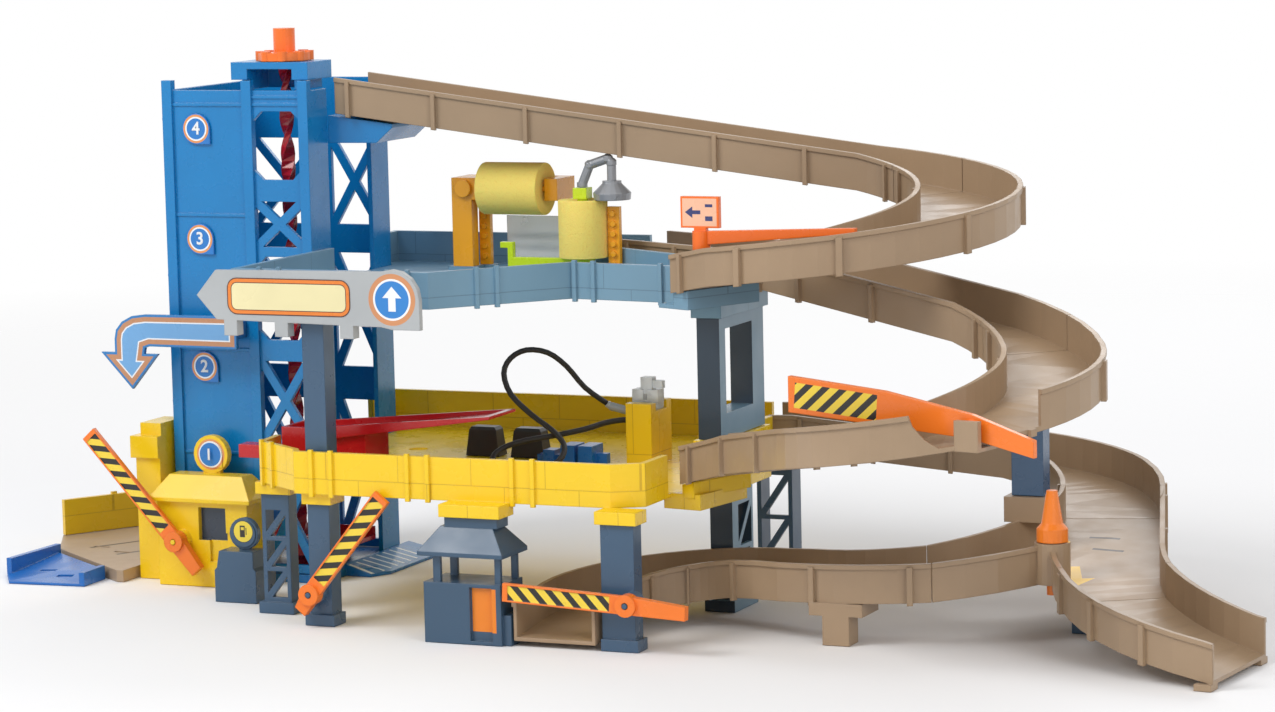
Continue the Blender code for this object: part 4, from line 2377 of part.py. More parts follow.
def make_rollers(look):
    left = ROLLER_X - ROLLER_LONG / 2
    right = ROLLER_X + ROLLER_LONG / 2
    roller = rod(WASH_Y, ROLLER_Z, ROLLER_RADIUS, left, right, "x", ROUND_SIDES * 2)
    bore = rod(WASH_Y, ROLLER_Z, ROLLER_BORE, left - OVERRUN, right + OVERRUN, "x", SMALL_SIDES)
    finish("roller_horizontal", joined([roller], [bore]), look, (ROLLER_X, WASH_Y, ROLLER_Z))
    roller = rod(BRUSH_X, BRUSH_Y, BRUSH_RADIUS, BRUSH_LOW, BRUSH_HIGH, sides=ROUND_SIDES * 2)
    bore = rod(
        BRUSH_X,
        BRUSH_Y,
        SHAFT_RADIUS + CLEAR * 2,
        BRUSH_LOW - OVERRUN,
        BRUSH_HIGH + OVERRUN,
        sides=SMALL_SIDES,
    )
    finish("roller_vertical", joined([roller], [bore]), look, (BRUSH_X, BRUSH_Y, BRUSH_LOW))


def make_lever(look):
    """The lime lever with the upright shaft through the vertical roller."""
    seat = DECK_3_UNDER + DECK_3_FLOOR + DECK_SEAT_TALL
    low = seat + CLEAR
    disc_high = BRUSH_LOW - CLEAR
    top = BRUSH_HIGH + CLEAR
    pivot = (BRUSH_X, BRUSH_Y, low)
    bodies = [rod(BRUSH_X, BRUSH_Y, SHAFT_RADIUS * 2, low, disc_high, sides=ROUND_SIDES)]
    bodies.append(rod(BRUSH_X, BRUSH_Y, SHAFT_RADIUS, low + FUSE, top + FUSE, sides=SMALL_SIDES))
    bodies.append(rod(BRUSH_X, BRUSH_Y, GATE_BORE, DECK_3_UNDER, low + FUSE, sides=SMALL_SIDES))
    bodies.append(
        block(
            BRUSH_X - SHAFT_RADIUS * CAP_WIDE_SHARE,
            BRUSH_X + SHAFT_RADIUS * CAP_WIDE_SHARE,
            BRUSH_Y - SHAFT_RADIUS * CAP_WIDE_SHARE,
            BRUSH_Y + SHAFT_RADIUS * CAP_WIDE_SHARE,
            top,
            top + CAP_TALL,
        ),
    )
    half = LEVER_TALL / 2
    end = BRUSH_X - LEVER_REACH
    bodies.append(block(end, BRUSH_X, BRUSH_Y - half, BRUSH_Y + half, low, disc_high))
    knob_high = disc_high + LEVER_RISE
    bodies.append(block(end - half, end + half, BRUSH_Y - half, BRUSH_Y + half, low, knob_high))
    bodies.append(
        block(end - CAP_TALL, end + half, BRUSH_Y - half, BRUSH_Y + half, knob_high - LEVER_TALL, knob_high)
    )
    finish("wash_lever", joined(bodies), look, pivot, smooth=False)


def make_shower(look):
    low = BRUSH_HIGH + CLEAR + CAP_TALL + CLEAR
    points = []
    for one, two in PIPE_SHARES:
        points.append((BRUSH_X + PIPE_REACH * one, BRUSH_Y, low + PIPE_RADIUS / 2 + PIPE_RISE * two))
    bodies = [rod(BRUSH_X, BRUSH_Y, PIPE_RADIUS * PIPE_COLLAR_SHARE, low, low + PIPE_RADIUS)]
    for start, end in zip(points, points[1:]):
        bodies.append(bar(start, end, PIPE_RADIUS))
    for x, y, z in points[1:-1]:
        ball = turned(
            [
                (PIPE_RADIUS / 2, z - PIPE_RADIUS),
                (PIPE_RADIUS * PIPE_RING_SHARE, z - PIPE_RADIUS / 2),
                (PIPE_RADIUS * PIPE_RING_SHARE, z + PIPE_RADIUS / 2),
                (PIPE_RADIUS / 2, z + PIPE_RADIUS),
            ],
            x,
            y,
            sides=SMALL_SIDES,
        )
        bodies.append(ball)
    end_x, end_y, end_z = points[-1]
    bodies.append(
        turned(
            [
                (SHOWER_RADIUS * SHOWER_FACE_SHARE, end_z - SHOWER_TALL),
                (SHOWER_RADIUS, end_z - SHOWER_TALL * SHOWER_RIM_SHARE),
                (SHOWER_RADIUS / 2, end_z - FUSE),
                (SHOWER_RADIUS / 2, end_z + FUSE * 2),
            ],
            end_x,
            end_y,
        )
    )
    finish("shower", joined(bodies), look, (BRUSH_X, BRUSH_Y, low))


def make_stud_strips(look):
    for name, x, y, high in (
        ("stud_strip_left", STUD_LEFT_X, STUD_Y, STUD_LEFT_HIGH),
        ("stud_strip_right", STUD_RIGHT_X, STUD_RIGHT_Y, STUD_RIGHT_HIGH),
    ):
        low = DECK_3_UNDER + DECK_3_FLOOR + CLEAR
        near = y - STUD_THICK / 2
        bodies = [block(x - STUD_WIDE / 2, x + STUD_WIDE / 2, near, y + STUD_THICK / 2, low, high)]
        for stud in range(STUD_COUNT):
            z = between(low + DECK_SEAT_TALL * STUD_START_SHARE, high, (stud + STUD_OFFSET_SHARE) / STUD_COUNT)
            bodies.append(rod(x, z, STUD_RADIUS, near - STUD_RADIUS, near + FUSE, "y", SMALL_SIDES))
        finish(name, joined(bodies), look, smooth=False)


def make_screen(look):
    low = DECK_3_UNDER + DECK_3_FLOOR + CLEAR
    sheet = block(SCREEN_LEFT, SCREEN_RIGHT, SCREEN_Y, SCREEN_Y + SCREEN_THICK, low, SCREEN_HIGH)
    finish("wash_screen", sheet, look, smooth=False)


# Service items on deck 2

STAND_TOP_SHARE = 0.82
ENGINE_SHARES = (
    (0.00, 0.62, 0.0, 0.45, 0.30, 0.70),
    (0.10, 0.26, 0.0, 0.70, 0.20, 0.80),
    (0.38, 0.58, 0.0, 1.00, 0.05, 0.95),
    (0.56, 0.66, 0.0, 0.55, 0.25, 0.75),
    (0.64, 0.84, 0.0, 1.00, 0.00, 1.00),
    (0.80, 1.00, 0.1, 0.60, 0.35, 0.65),
)
MOTOR_SHARES = (
    (0.05, 0.95, 0.00, 0.24, 0.10, 0.90),
    (0.00, 0.42, 0.20, 0.62, 0.18, 0.82),
    (0.58, 1.00, 0.20, 0.62, 0.18, 0.82),
    (0.30, 0.74, 0.48, 1.00, 0.28, 0.72),
    (0.70, 1.12, 0.66, 0.90, 0.36, 0.64),
)


def deck_2_floor():
    return DECK_2_UNDER + DECK_2_FLOOR


def share_blocks(shares, x, y, z, long, deep, tall):
    """Blocks at shares of a box: along, up and across."""
    blocks = []
    for left, right, low, high, near, far in shares:
        blocks.append(
            block(
                x + long * left,
                x + long * right,
                y + deep * near,
                y + deep * far,
                z + tall * low,
                z + tall * high,
            )
        )
    return blocks


def make_stands(look):
    low = deck_2_floor() + CLEAR
    for name, x in (("black_stand_left", TYRES_1_X), ("black_stand_right", TYRES_2_X)):
        rings = []
        for z, share in ((low, 1), (between(low, low + TYRES_TALL, 0.9), STAND_TOP_SHARE), (low + TYRES_TALL, 0.7)):
            half_x = TYRES_WIDE * share / 2
            half_y = TYRES_DEEP * share / 2
            outline = rectangle(x - half_x, x + half_x, TYRES_Y - half_y, TYRES_Y + half_y)
            rings.append([(one, two, z) for one, two in outline])
        finish(name, loft(rings), look, smooth=False)


def make_engines(look, clear_look):
    low = deck_2_floor() + CLEAR
    left = ENGINE_X - ENGINE_LONG / 2
    near = ENGINE_Y - ENGINE_DEEP / 2
    bodies = share_blocks(ENGINE_SHARES, left, near, low, ENGINE_LONG, ENGINE_DEEP, ENGINE_TALL)
    finish("engine_block", joined(bodies), look, smooth=False)
    top = deck_2_floor() + PILLAR_TALL - PILLAR_NOTCH + CLEAR
    bodies = share_blocks(
        MOTOR_SHARES,
        PILLAR_X,
        PILLAR_Y + PILLAR_DEEP / 4,
        top,
        PILLAR_WIDE,
        PILLAR_DEEP / 2,
        MOTOR_TALL,
    )
    finish("clear_motor", joined(bodies), clear_look, smooth=False)


def make_tip_ramp(look):
    """The red tray that tips, with its counterweight block and the tab outside the deck."""
    floor = deck_2_floor()
    base = floor + TIP_RAMP_LIFT
    start = base + TIP_TRAY_RISE
    near = TIP_RAMP_Y - TIP_RAMP_WIDE / 2
    far = TIP_RAMP_Y + TIP_RAMP_WIDE / 2
    rise = (TIP_RAMP_RIGHT - TIP_RAMP_LEFT) * TIP_RAMP_SLOPE_SHARE
    tray = [
        (TIP_BLOCK_LEFT, start - TIP_RAMP_WALL * 2),
        (TIP_RAMP_LEFT, start - TIP_RAMP_WALL * 2),
        (TIP_RAMP_RIGHT, start + rise),
        (TIP_RAMP_RIGHT, start + rise + TIP_RAMP_WALL),
        (TIP_RAMP_LEFT, start + TIP_RAMP_RIM),
        (TIP_BLOCK_LEFT, start + TIP_RAMP_RIM),
    ]
    bodies = [prism(tray, near, far, "y")]
    hollow = prism(
        [
            (TIP_BLOCK_LEFT + TIP_RAMP_WALL, start),
            (TIP_RAMP_LEFT, start),
            (TIP_RAMP_RIGHT - TIP_RAMP_WALL * 3, start + rise),
            (TIP_RAMP_RIGHT - TIP_RAMP_WALL * 3, start + rise + OVERRUN),
            (TIP_BLOCK_LEFT + TIP_RAMP_WALL, start + OVERRUN * 2),
        ],
        near + TIP_RAMP_WALL,
        far - TIP_RAMP_WALL,
        "y",
    )
    low = floor + CLEAR + TIP_BLOCK_LIFT
    block_right = TIP_BLOCK_LEFT + TIP_BLOCK_WIDE
    inset = TIP_RAMP_WALL * 2
    bodies.append(
        prism(
            [
                (TIP_PIN_X + TIP_PIN_RADIUS * 3, start - TIP_RAMP_WALL),
                (TIP_PIN_X + TIP_PIN_RADIUS * 3, low),
                (block_right, low + TIP_BLOCK_LIFT),
                (block_right, start + (block_right - TIP_RAMP_LEFT) * TIP_RAMP_SLOPE_SHARE - FUSE),
            ],
            near + inset,
            far - inset,
            "y",
        )
    )
    tab_low = base - TAB_TALL / 2
    bodies.append(
        block(
            TAB_LEFT,
            TIP_BLOCK_LEFT + FUSE,
            TIP_RAMP_Y - TAB_WIDE / 2,
            TIP_RAMP_Y + TAB_WIDE / 2,
            tab_low,
            tab_low + TAB_TALL,
        )
    )
    pin_z = base - TIP_PIN_RADIUS * 2
    bodies.append(
        block(
            TIP_BLOCK_LEFT,
            TIP_PIN_X + TIP_PIN_RADIUS * 3 + FUSE,
            near,
            far,
            pin_z - TIP_PIN_RADIUS * 2,
            start - FUSE,
        )
    )
    reach = TIP_PIN_RADIUS + CLEAR
    bores = [
        rod(TIP_PIN_X, pin_z, TIP_PIN_RADIUS + CLEAR, near - OVERRUN, near + reach, "y"),
        rod(TIP_PIN_X, pin_z, TIP_PIN_RADIUS + CLEAR, far - reach, far + OVERRUN, "y"),
    ]
    finish("tip_ramp", joined(bodies, [hollow] + bores), look, (TIP_PIN_X, TIP_RAMP_Y, pin_z), smooth=False)


HOSE_SHARES = (
    (1.0, 0.83, 0.37),
    (0.93, 0.8, 0.367),
    (0.82, 0.72, 0.349),
    (0.7, 0.54, 0.31),
    (0.5, 0.35, 0.27),
    (0.3, 0.24, 0.235),
    (0.14, 0.12, 0.19),
    (0.07, -0.03, 0.125),
    (0.11, -0.15, 0.06),
    (0.25, -0.21, 0.015),
    (0.42, -0.16, 0.005),
    (0.57, -0.03, 0.035),
    (0.64, 0.11, 0.11),
    (0.61, 0.24, 0.21),
    (0.48, 0.31, 0.32),
    (0.28, 0.34, 0.45),
    (0.09, 0.36, 0.62),
    (0.005, 0.42, 0.8),
    (0.04, 0.5, 0.93),
    (0.16, 0.58, 1.0),
    (0.32, 0.68, 0.97),
    (0.45, 0.79, 0.84),
    (0.58, 0.89, 0.64),
    (0.74, 1.0, 0.49),
)
HOSE_SPANS = 3


def hose_route():
    points = []
    for along, across, up in HOSE_SHARES:
        points.append(
            Vector(
                (
                    between(HOSE_LEFT, PILLAR_X - CLEAR, along),
                    between(HOSE_FRONT, HOSE_BACK, across),
                    between(HOSE_LOW, HOSE_HIGH, up),
                )
            )
        )
    return points


def smooth_line(route, spans):
    """Points of a smooth curve through the route, some to each span."""
    line = []
    last = len(route) - 1
    for at in range(last):
        before = route[max(at - 1, 0)]
        here = route[at]
        after = route[at + 1]
        beyond = route[min(at + 2, last)]
        for step in range(spans):
            share = step / spans
            lean_in = (after - before) / 2
            lean_out = (beyond - here) / 2
            drop = share * share * (3 - 2 * share)
            point = here * (1 - drop) + after * drop
            point += lean_in * share * (1 - share) ** 2 - lean_out * share * share * (1 - share)
            line.append(point)
    line.append(route[last])
    return line


def make_hose(look):
    line = smooth_line(hose_route(), HOSE_SPANS)
    curve = bpy.data.curves.new("hose", "CURVE")
    curve.dimensions = "3D"
    curve.bevel_depth = HOSE_RADIUS
    curve.bevel_resolution = 2
    curve.use_fill_caps = True
    spline = curve.splines.new("POLY")
    spline.points.add(len(line) - 1)
    for point, place_now in zip(spline.points, line):
        point.co = (*place_now, 1)
    curve.materials.append(look)
    item = bpy.data.objects.new("hose", curve)
    bpy.context.scene.collection.objects.link(item)


def make_nozzle(look):
    """The grey nozzle between the end of the hose and its rest on the pillar."""
    route = hose_route()
    way = (route[-1] - route[-2]).normalized()
    start = route[-1] + way * CLEAR
    end = Vector((PILLAR_X - CLEAR - NOZZLE_RADIUS, start.y, start.z - NOZZLE_LONG * NOZZLE_DROP_SHARE))
    bodies = [bar(start, start + way * NOZZLE_RADIUS * 2, HOSE_RADIUS * FERRULE_SHARE)]
    bodies.append(bar(start + way * NOZZLE_RADIUS, end, NOZZLE_RADIUS))
    finish("nozzle", joined(bodies), look)


NOZZLE_DROP_SHARE = 0.28


# Barriers and gates


def turned_outline(points, x, z, angle):
    """Points given along and above an arm, turned about its hub."""
    outline = []
    for along, up in points:
        outline.append(
            (
                x + along * math.cos(angle) - up * math.sin(angle),
                z + along * math.sin(angle) + up * math.cos(angle),
            )
        )
    return outline


def make_barrier(name, x, y, z, long, tail, angle, up_sign, look):
    """A striped arm on a round hub, with a heavy tail; up_sign tells on which side its sticker faces up."""
    high = BARRIER_HIGH * up_sign
    rim = BARRIER_RIM * up_sign
    arm = [(0, -high / 2), (long, -high / 2), (long, high / 2), (0, high / 2)]
    panel = [
        (BARRIER_HUB * BARRIER_PANEL_SHARE, -high / 2 + rim),
        (long - BARRIER_HUB / 2, -high / 2 + rim),
        (long - BARRIER_HUB / 2, high / 2 - rim),
        (BARRIER_HUB * BARRIER_PANEL_SHARE, high / 2 - rim),
    ]
    weight = [(0, -high / 2), (0, high / 2), (-tail, high / 4), (-tail, -high / 2)]
    near = y - BARRIER_THICK / 2
    far = y + BARRIER_THICK / 2
    hub_near = y - BARRIER_HUB_THICK / 2
    hub_far = y + BARRIER_HUB_THICK / 2
    bodies = [
        prism(turned_outline(arm, x, z, angle), near, far, "y"),
        rod(x, z, BARRIER_HUB, hub_near, hub_far, "y"),
        prism(turned_outline(weight, x, z, angle), near, hub_far, "y"),
    ]
    cuts = [
        rod(x, z, BARRIER_BORE, y - OVERRUN, y + OVERRUN, "y", SMALL_SIDES),
        prism(turned_outline(panel, x, z, angle), near - OVERRUN, near + BARRIER_RIM / 2, "y"),
    ]
    finish(name, joined(bodies, cuts), look, (x, y, z), smooth=False)


def make_barriers(look):
    make_barrier(
        "barrier_left",
        LEFT_BARRIER_X,
        LEFT_BARRIER_Y,
        LEFT_BARRIER_Z,
        LEFT_BARRIER_LONG,
        LEFT_BARRIER_TAIL,
        LEFT_BARRIER_ANGLE,
        -1,
        look,
    )
    make_barrier(
        "barrier_front",
        FRONT_BARRIER_X,
        FRONT_BARRIER_Y,
        FRONT_BARRIER_Z,
        FRONT_BARRIER_LONG,
        FRONT_BARRIER_TAIL,
        FRONT_BARRIER_ANGLE,
        1,
        look,
    )
    make_barrier(
        "barrier_exit",
        EXIT_BARRIER_X,
        EXIT_BARRIER_Y,
        EXIT_BARRIER_Z,
        EXIT_BARRIER_LONG,
        EXIT_BARRIER_TAIL,
        EXIT_BARRIER_ANGLE,
        -1,
        look,
    )


def gate_1_place():
    """Where the first gate turns: by the near wall of the last run of track 1."""
    stations, marks = track_1_line()
    x, y, heading, distance = station_at(stations, stations[-1][3] - GATE_1_BACK)
    aside = TRACK_1_HALF - TRACK_WALL - GATE_HUB - CLEAR * 2
    floor = height_at(marks, distance) - TRACK_TALL + TRACK_FLOOR
    return x - math.sin(heading) * aside, y + math.cos(heading) * aside, floor


def gate_1_seat():
    """The boss and the pin on the track's floor that carry the first gate."""
    x, y, floor = gate_1_place()
    high = floor + GATE_SEAT_TALL
    boss = rod(x, y, GATE_HUB, floor - TRACK_FLOOR / 2, high)
    pin = rod(x, y, GATE_PIN, high - FUSE, high + GATE_1_HUB_TALL * GATE_PIN_SHARE, sides=SMALL_SIDES)
    return [boss, pin]


def make_gate_1(look):
    """The gate that swings over track 1, with the sign plate above its hub."""
    x, y, floor = gate_1_place()
    low = floor + GATE_SEAT_TALL + CLEAR
    high = low + GATE_1_HUB_TALL
    half = GATE_THICK / 2
    arm = [
        (0, high - GATE_1_TALL),
        (GATE_1_LONG, high + GATE_1_RISE - GATE_1_TALL / GATE_TAPER_SHARE),
        (GATE_1_LONG, high + GATE_1_RISE),
        (0, high),
    ]
    arm_body = prism(arm, -half, half, "y")
    arm_body.data.transform(Matrix.Translation((x, y, 0)) @ Matrix.Rotation(GATE_1_ANGLE, 4, "Z"))
    plate_low = high + GATE_THICK / 2
    bodies = [
        rod(x, y, GATE_HUB, low, high),
        arm_body,
        block(x - GATE_THICK, x + GATE_THICK, y - half, y + half, high - FUSE, plate_low + FUSE),
        block(
            x - GATE_PLATE_WIDE / 2,
            x + GATE_PLATE_WIDE / 2,
            y - half,
            y + half,
            plate_low,
            plate_low + GATE_PLATE_TALL,
        ),
    ]
    bore = rod(x, y, GATE_BORE, low - OVERRUN, low + GATE_1_HUB_TALL * GATE_BORE_SHARE, sides=SMALL_SIDES)
    finish("gate_upper", joined(bodies, [bore]), look, (x, y, low), smooth=False)


GATE_2_SHARES = (
    (0.0, 0.0),
    (0.246, 0.228),
    (1.0, 0.4386),
    (1.0, 1.0),
    (0.6, 0.86),
    (0.246, 0.5965),
    (0.0, 0.263),
)
GATE_2_OPEN_START_SHARE = 0.625
GATE_2_OPEN_SHARES = ((0.681, 0.0), (0.688, 0.25), (0.694, 0.6), (0.697, 1.0))


def gate_2_opening():
    """The gap in the outer wall of track 2 through which the second gate's arm passes."""
    stations, marks = track_2_line()
    length = stations[-1][3]
    outer = TRACK_2_HALF + RIB_OUT * 2
    inner = TRACK_2_HALF - TRACK_WALL * TRACK_INNER_SHARE
    places = []
    for station in cut_line(stations, length * GATE_2_OPEN_START_SHARE, length * GATE_2_OPEN_SHARES[0][0]):
        places.append((station, 0))
    for share, depth in GATE_2_OPEN_SHARES[1:]:
        places.append((station_at(stations, length * share), depth))
    rings = []
    for station, depth in places:
        low = between(TRACK_FLOOR + FUSE - TRACK_TALL, RIM_TALL, depth)
        outline = rectangle(inner, outer, low, OVERRUN)
        rings.append(section(station, height_at(marks, station[3]), outline))
    return triangulated(loft(rings))


def on_gate_2(body):
    turn = Matrix.Rotation(GATE_2_ANGLE, 4, "Z")
    body.data.transform(Matrix.Translation((GATE_2_X, GATE_2_Y, GATE_2_Z)) @ turn)
    return body


def gate_2_bracket():
    """The ear and its pin outside track 2 that carry the second gate."""
    stations, marks = track_2_line()
    distance = nearest_distance(stations, GATE_2_X, GATE_2_Y)
    under = height_at(marks, distance) - TRACK_TALL - GATE_2_Z
    near = GATE_THICK + CLEAR
    wide = GATE_HUB * GATE_FOOT_SHARE
    ear = block(-wide, wide, near, near + GATE_THICK, under - RIB_BELOW, GATE_HUB)
    foot = block(-wide, wide, -GATE_2_FOOT, near + GATE_THICK, under - RIB_BELOW, under + TRACK_FLOOR / 2)
    pin = rod(0, 0, GATE_PIN, -near, near + FUSE, "y", SMALL_SIDES)
    return [on_gate_2(body) for body in (ear, foot, pin)]


def make_gate_2(look):
    """The gate that tips down into track 2 about an axle across its arm."""
    outline = spread(GATE_2_SHARES, -GATE_2_TAIL, GATE_2_LONG, -GATE_2_LOW, GATE_2_TALL)
    arm = prism(outline, -GATE_THICK / 2, GATE_THICK / 2, "y")
    hub = rod(0, 0, GATE_HUB, -GATE_THICK, GATE_THICK, "y")
    bore = rod(0, 0, GATE_BORE, -OVERRUN, OVERRUN, "y", SMALL_SIDES)
    body = on_gate_2(joined([arm, hub], [bore]))
    finish("gate_lower", body, look, (GATE_2_X, GATE_2_Y, GATE_2_Z), smooth=False)


# The whole garage


def frame_shift():
    """The middle of the tower's underside, which becomes the origin."""
    left = TOWER_LEFT - TOWER_BASE_OUT
    front = -TOWER_POST_PROUD
    back = TOWER_DEPTH + TOWER_BASE_OUT
    return (left + tower_right()) / 2, (front + back) / 2


def main():
    clear_scene()
    blue = plastic("tower_blue", BLUE)
    base_blue = plastic("base_blue", BASE_BLUE)
    yellow = plastic("deck_yellow", YELLOW)
    steel = plastic("column_steel_blue", STEEL_BLUE)
    slate = plastic("slate", SLATE)
    tan = plastic("track_tan", TAN)
    pale_blue = plastic("deck_pale_blue", PALE_BLUE)
    orange = plastic("orange", ORANGE)
    red = plastic("red", RED)
    grey = plastic("grey", GREY)
    lime = plastic("lime", LIME)
    sponge = plastic("sponge", SPONGE, 0.9)
    amber = plastic("amber", AMBER)
    black = plastic("black", BLACK)
    clear_look = plastic("clear", CLEAR_PLASTIC, 0.1, 0.35)
    make_track_1(tan)
    make_track_2(tan)
    make_track_3(tan)
    make_fork(tan)
    make_branches(tan)
    make_cone(orange)
    make_tower_front(blue)
    make_tower_back(blue)
    make_tower_base(base_blue)
    make_head(base_blue)
    make_top_bracket(blue)
    make_knob(orange)
    make_screw(red)
    make_platform(red)
    make_deck_3(pale_blue)
    make_deck_2(yellow)
    make_columns(steel)
    make_corner_column(steel)
    make_portal(slate)
    make_prop(steel)
    make_fork_stub(slate)
    make_badges(blue)
    make_arrow_sign(base_blue)
    make_big_sign(grey)
    make_booth(yellow)
    make_ground_plate(tan, yellow)
    make_entry_ramp(base_blue)
    make_fuel_pump(steel)
    make_gas_booth(steel)
    make_wash_frame(amber)
    make_rollers(sponge)
    make_lever(lime)
    make_shower(grey)
    make_stud_strips(amber)
    make_screen(grey)
    make_stands(black)
    make_engines(base_blue, clear_look)
    make_tip_ramp(red)
    make_hose(black)
    make_nozzle(grey)
    make_barriers(orange)
    make_gate_1(orange)
    make_gate_2(orange)
    shift_x, shift_y = frame_shift()
    for item in bpy.data.objects:
        item.location.x -= shift_x
        item.location.y -= shift_y


main()
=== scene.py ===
import math
import bmesh
import bpy
from mathutils import Matrix, Vector


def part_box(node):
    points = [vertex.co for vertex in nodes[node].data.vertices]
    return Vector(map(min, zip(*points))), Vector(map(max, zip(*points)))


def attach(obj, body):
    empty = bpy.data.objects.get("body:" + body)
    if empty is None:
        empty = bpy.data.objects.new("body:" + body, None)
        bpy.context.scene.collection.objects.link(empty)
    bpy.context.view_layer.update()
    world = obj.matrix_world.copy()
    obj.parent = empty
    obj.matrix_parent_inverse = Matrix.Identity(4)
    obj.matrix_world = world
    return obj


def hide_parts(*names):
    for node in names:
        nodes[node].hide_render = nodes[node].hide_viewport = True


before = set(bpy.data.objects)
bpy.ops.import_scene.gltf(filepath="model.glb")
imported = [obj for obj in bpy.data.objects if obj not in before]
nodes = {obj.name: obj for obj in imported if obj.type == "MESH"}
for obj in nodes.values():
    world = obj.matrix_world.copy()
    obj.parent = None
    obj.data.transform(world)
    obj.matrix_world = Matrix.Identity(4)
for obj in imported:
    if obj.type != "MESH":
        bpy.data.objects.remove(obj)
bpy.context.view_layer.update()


# Objects and selection.
def new_object(name, data):
    thing = bpy.data.objects.new(name, data)
    bpy.context.scene.collection.objects.link(thing)
    return thing


def deselect_all():
    if bpy.context.object and bpy.context.object.mode != "OBJECT":
        bpy.ops.object.mode_set(mode="OBJECT")
    bpy.ops.object.select_all(action="DESELECT")


def choose(thing):
    """Makes an object the active one and the only one selected."""
    deselect_all()
    thing.select_set(True)
    bpy.context.view_layer.objects.active = thing


def edit_all():
    """Opens the active mesh for editing, with all of it selected."""
    bpy.ops.object.mode_set(mode="EDIT")
    bpy.ops.mesh.select_all(action="SELECT")


def inset_bands(piece, bands):
    """Insets the selected faces band by band; what lies inside each gets its material."""
    for index, thickness in bands:
        bpy.ops.mesh.inset(thickness=thickness, depth=0)
        piece.active_material_index = index
        bpy.ops.object.material_slot_assign()


# Node trees.
def set_inputs(node, values):
    for key, value in values.items():
        node.inputs[key].default_value = value


def add_node(tree, kind, inputs=None, operation=None):
    """A new shader node, its inputs' values given by name."""
    node = tree.nodes.new("ShaderNode" + kind)
    if operation:
        node.operation = operation
    set_inputs(node, inputs or {})
    return node


def add_group(tree, group, inputs):
    node = add_node(tree, "Group")
    node.node_tree = group
    set_inputs(node, inputs)
    return node


def wire(tree, *pairs):
    """Links the first socket of each pair to the second."""
    for source, target in pairs:
        tree.links.new(source, target)


def fill_in(tree, node, values):
    """Gives a node's inputs, in order, a socket to read or a fixed value."""
    for entry_socket, value in zip(node.inputs, values):
        if isinstance(value, bpy.types.NodeSocket):
            tree.links.new(value, entry_socket)
        else:
            entry_socket.default_value = value


def maths(tree, operation, *values):
    """The result of one maths node over sockets and numbers."""
    node = add_node(tree, "Math", operation=operation)
    fill_in(tree, node, values)
    return node.outputs["Value"]


def vectors(tree, operation, *values):
    """The result of one vector maths node over sockets and fixed vectors."""
    node = add_node(tree, "VectorMath", operation=operation)
    fill_in(tree, node, values)
    return node.outputs["Value" if operation in ("LENGTH", "DOT_PRODUCT") else "Vector"]


def split_axes(tree, vector):
    split = add_node(tree, "SeparateXYZ")
    wire(tree, (vector, split.inputs["Vector"]))
    return split.outputs


def object_place(tree):
    return add_node(tree, "TexCoord").outputs["Object"]


def new_group(name, inputs, outputs):
    """An empty node group with the given sockets, and its entry and its exit."""
    group = bpy.data.node_groups.new(name, "ShaderNodeTree")
    for way, sockets in (("INPUT", inputs), ("OUTPUT", outputs)):
        for label, kind in sockets:
            group.interface.new_socket(label, in_out=way, socket_type="NodeSocket" + kind)
    return group, group.nodes.new("NodeGroupInput"), group.nodes.new("NodeGroupOutput")


def new_look(name):
    """A new material, its node tree and its principled shader."""
    look = bpy.data.materials.new(name)
    look.use_nodes = True
    return look, look.node_tree, look.node_tree.nodes["Principled BSDF"]


# The viewpoint.
# A long lens a little above the top deck, well off to the right of the toy,
# turned to look back along the tracks at the lift tower.
EYE = Vector((0.98268, -1.80245, 0.35959))
TURNED, TIPPED, ROLLED = math.radians(23.5), math.radians(7.1), -0.023
SENSOR_WIDE = 36
FOCAL_PIXELS, PICTURE_PIXELS = 4000, 1275

ahead = Vector(
    (
        -math.sin(TURNED) * math.cos(TIPPED),
        math.cos(TURNED) * math.cos(TIPPED),
        -math.sin(TIPPED),
    )
)
level = Vector((math.cos(TURNED), math.sin(TURNED), 0))
upright = level.cross(ahead)
across = level * math.cos(ROLLED) + upright * math.sin(ROLLED)
upward = upright * math.cos(ROLLED) - level * math.sin(ROLLED)
lens = bpy.data.cameras.new("viewpoint")
lens.sensor_width = SENSOR_WIDE
lens.lens = FOCAL_PIXELS / PICTURE_PIXELS * SENSOR_WIDE
lens.clip_end = 50
viewpoint = new_object("viewpoint", lens)
viewpoint.matrix_world = Matrix(
    (
        (across.x, upward.x, -ahead.x, EYE.x),
        (across.y, upward.y, -ahead.y, EYE.y),
        (across.z, upward.z, -ahead.z, EYE.z),
        (0, 0, 0, 1),
    )
)
bpy.context.scene.camera = viewpoint
bpy.context.scene.view_settings.view_transform = "Standard"


# The wash hose on the second deck.
# A braided black cord that leaves the yellow pillar, dips to the deck's floor in
# one turn, rises in a tall loop and comes back down to its grey nozzle.
HOSE_THICK = 0.0028
HOSE_SPANS = 3


def smooth_run(marks, spans):
    """A smooth line through the marks, with so many spans from each to the next."""
    run = []
    last = len(marks) - 1
    for at in range(last):
        before, here = marks[max(at - 1, 0)], marks[at]
        after, beyond = marks[at + 1], marks[min(at + 2, last)]
        for step in range(spans):
            share = step / spans
            drop = share * share * (3 - 2 * share)
            point = here * (1 - drop) + after * drop
            point += (after - before) / 2 * share * (1 - share) ** 2
            point -= (beyond - here) / 2 * share * share * (1 - share)
            run.append(point)
    run.append(marks[last])
    return run


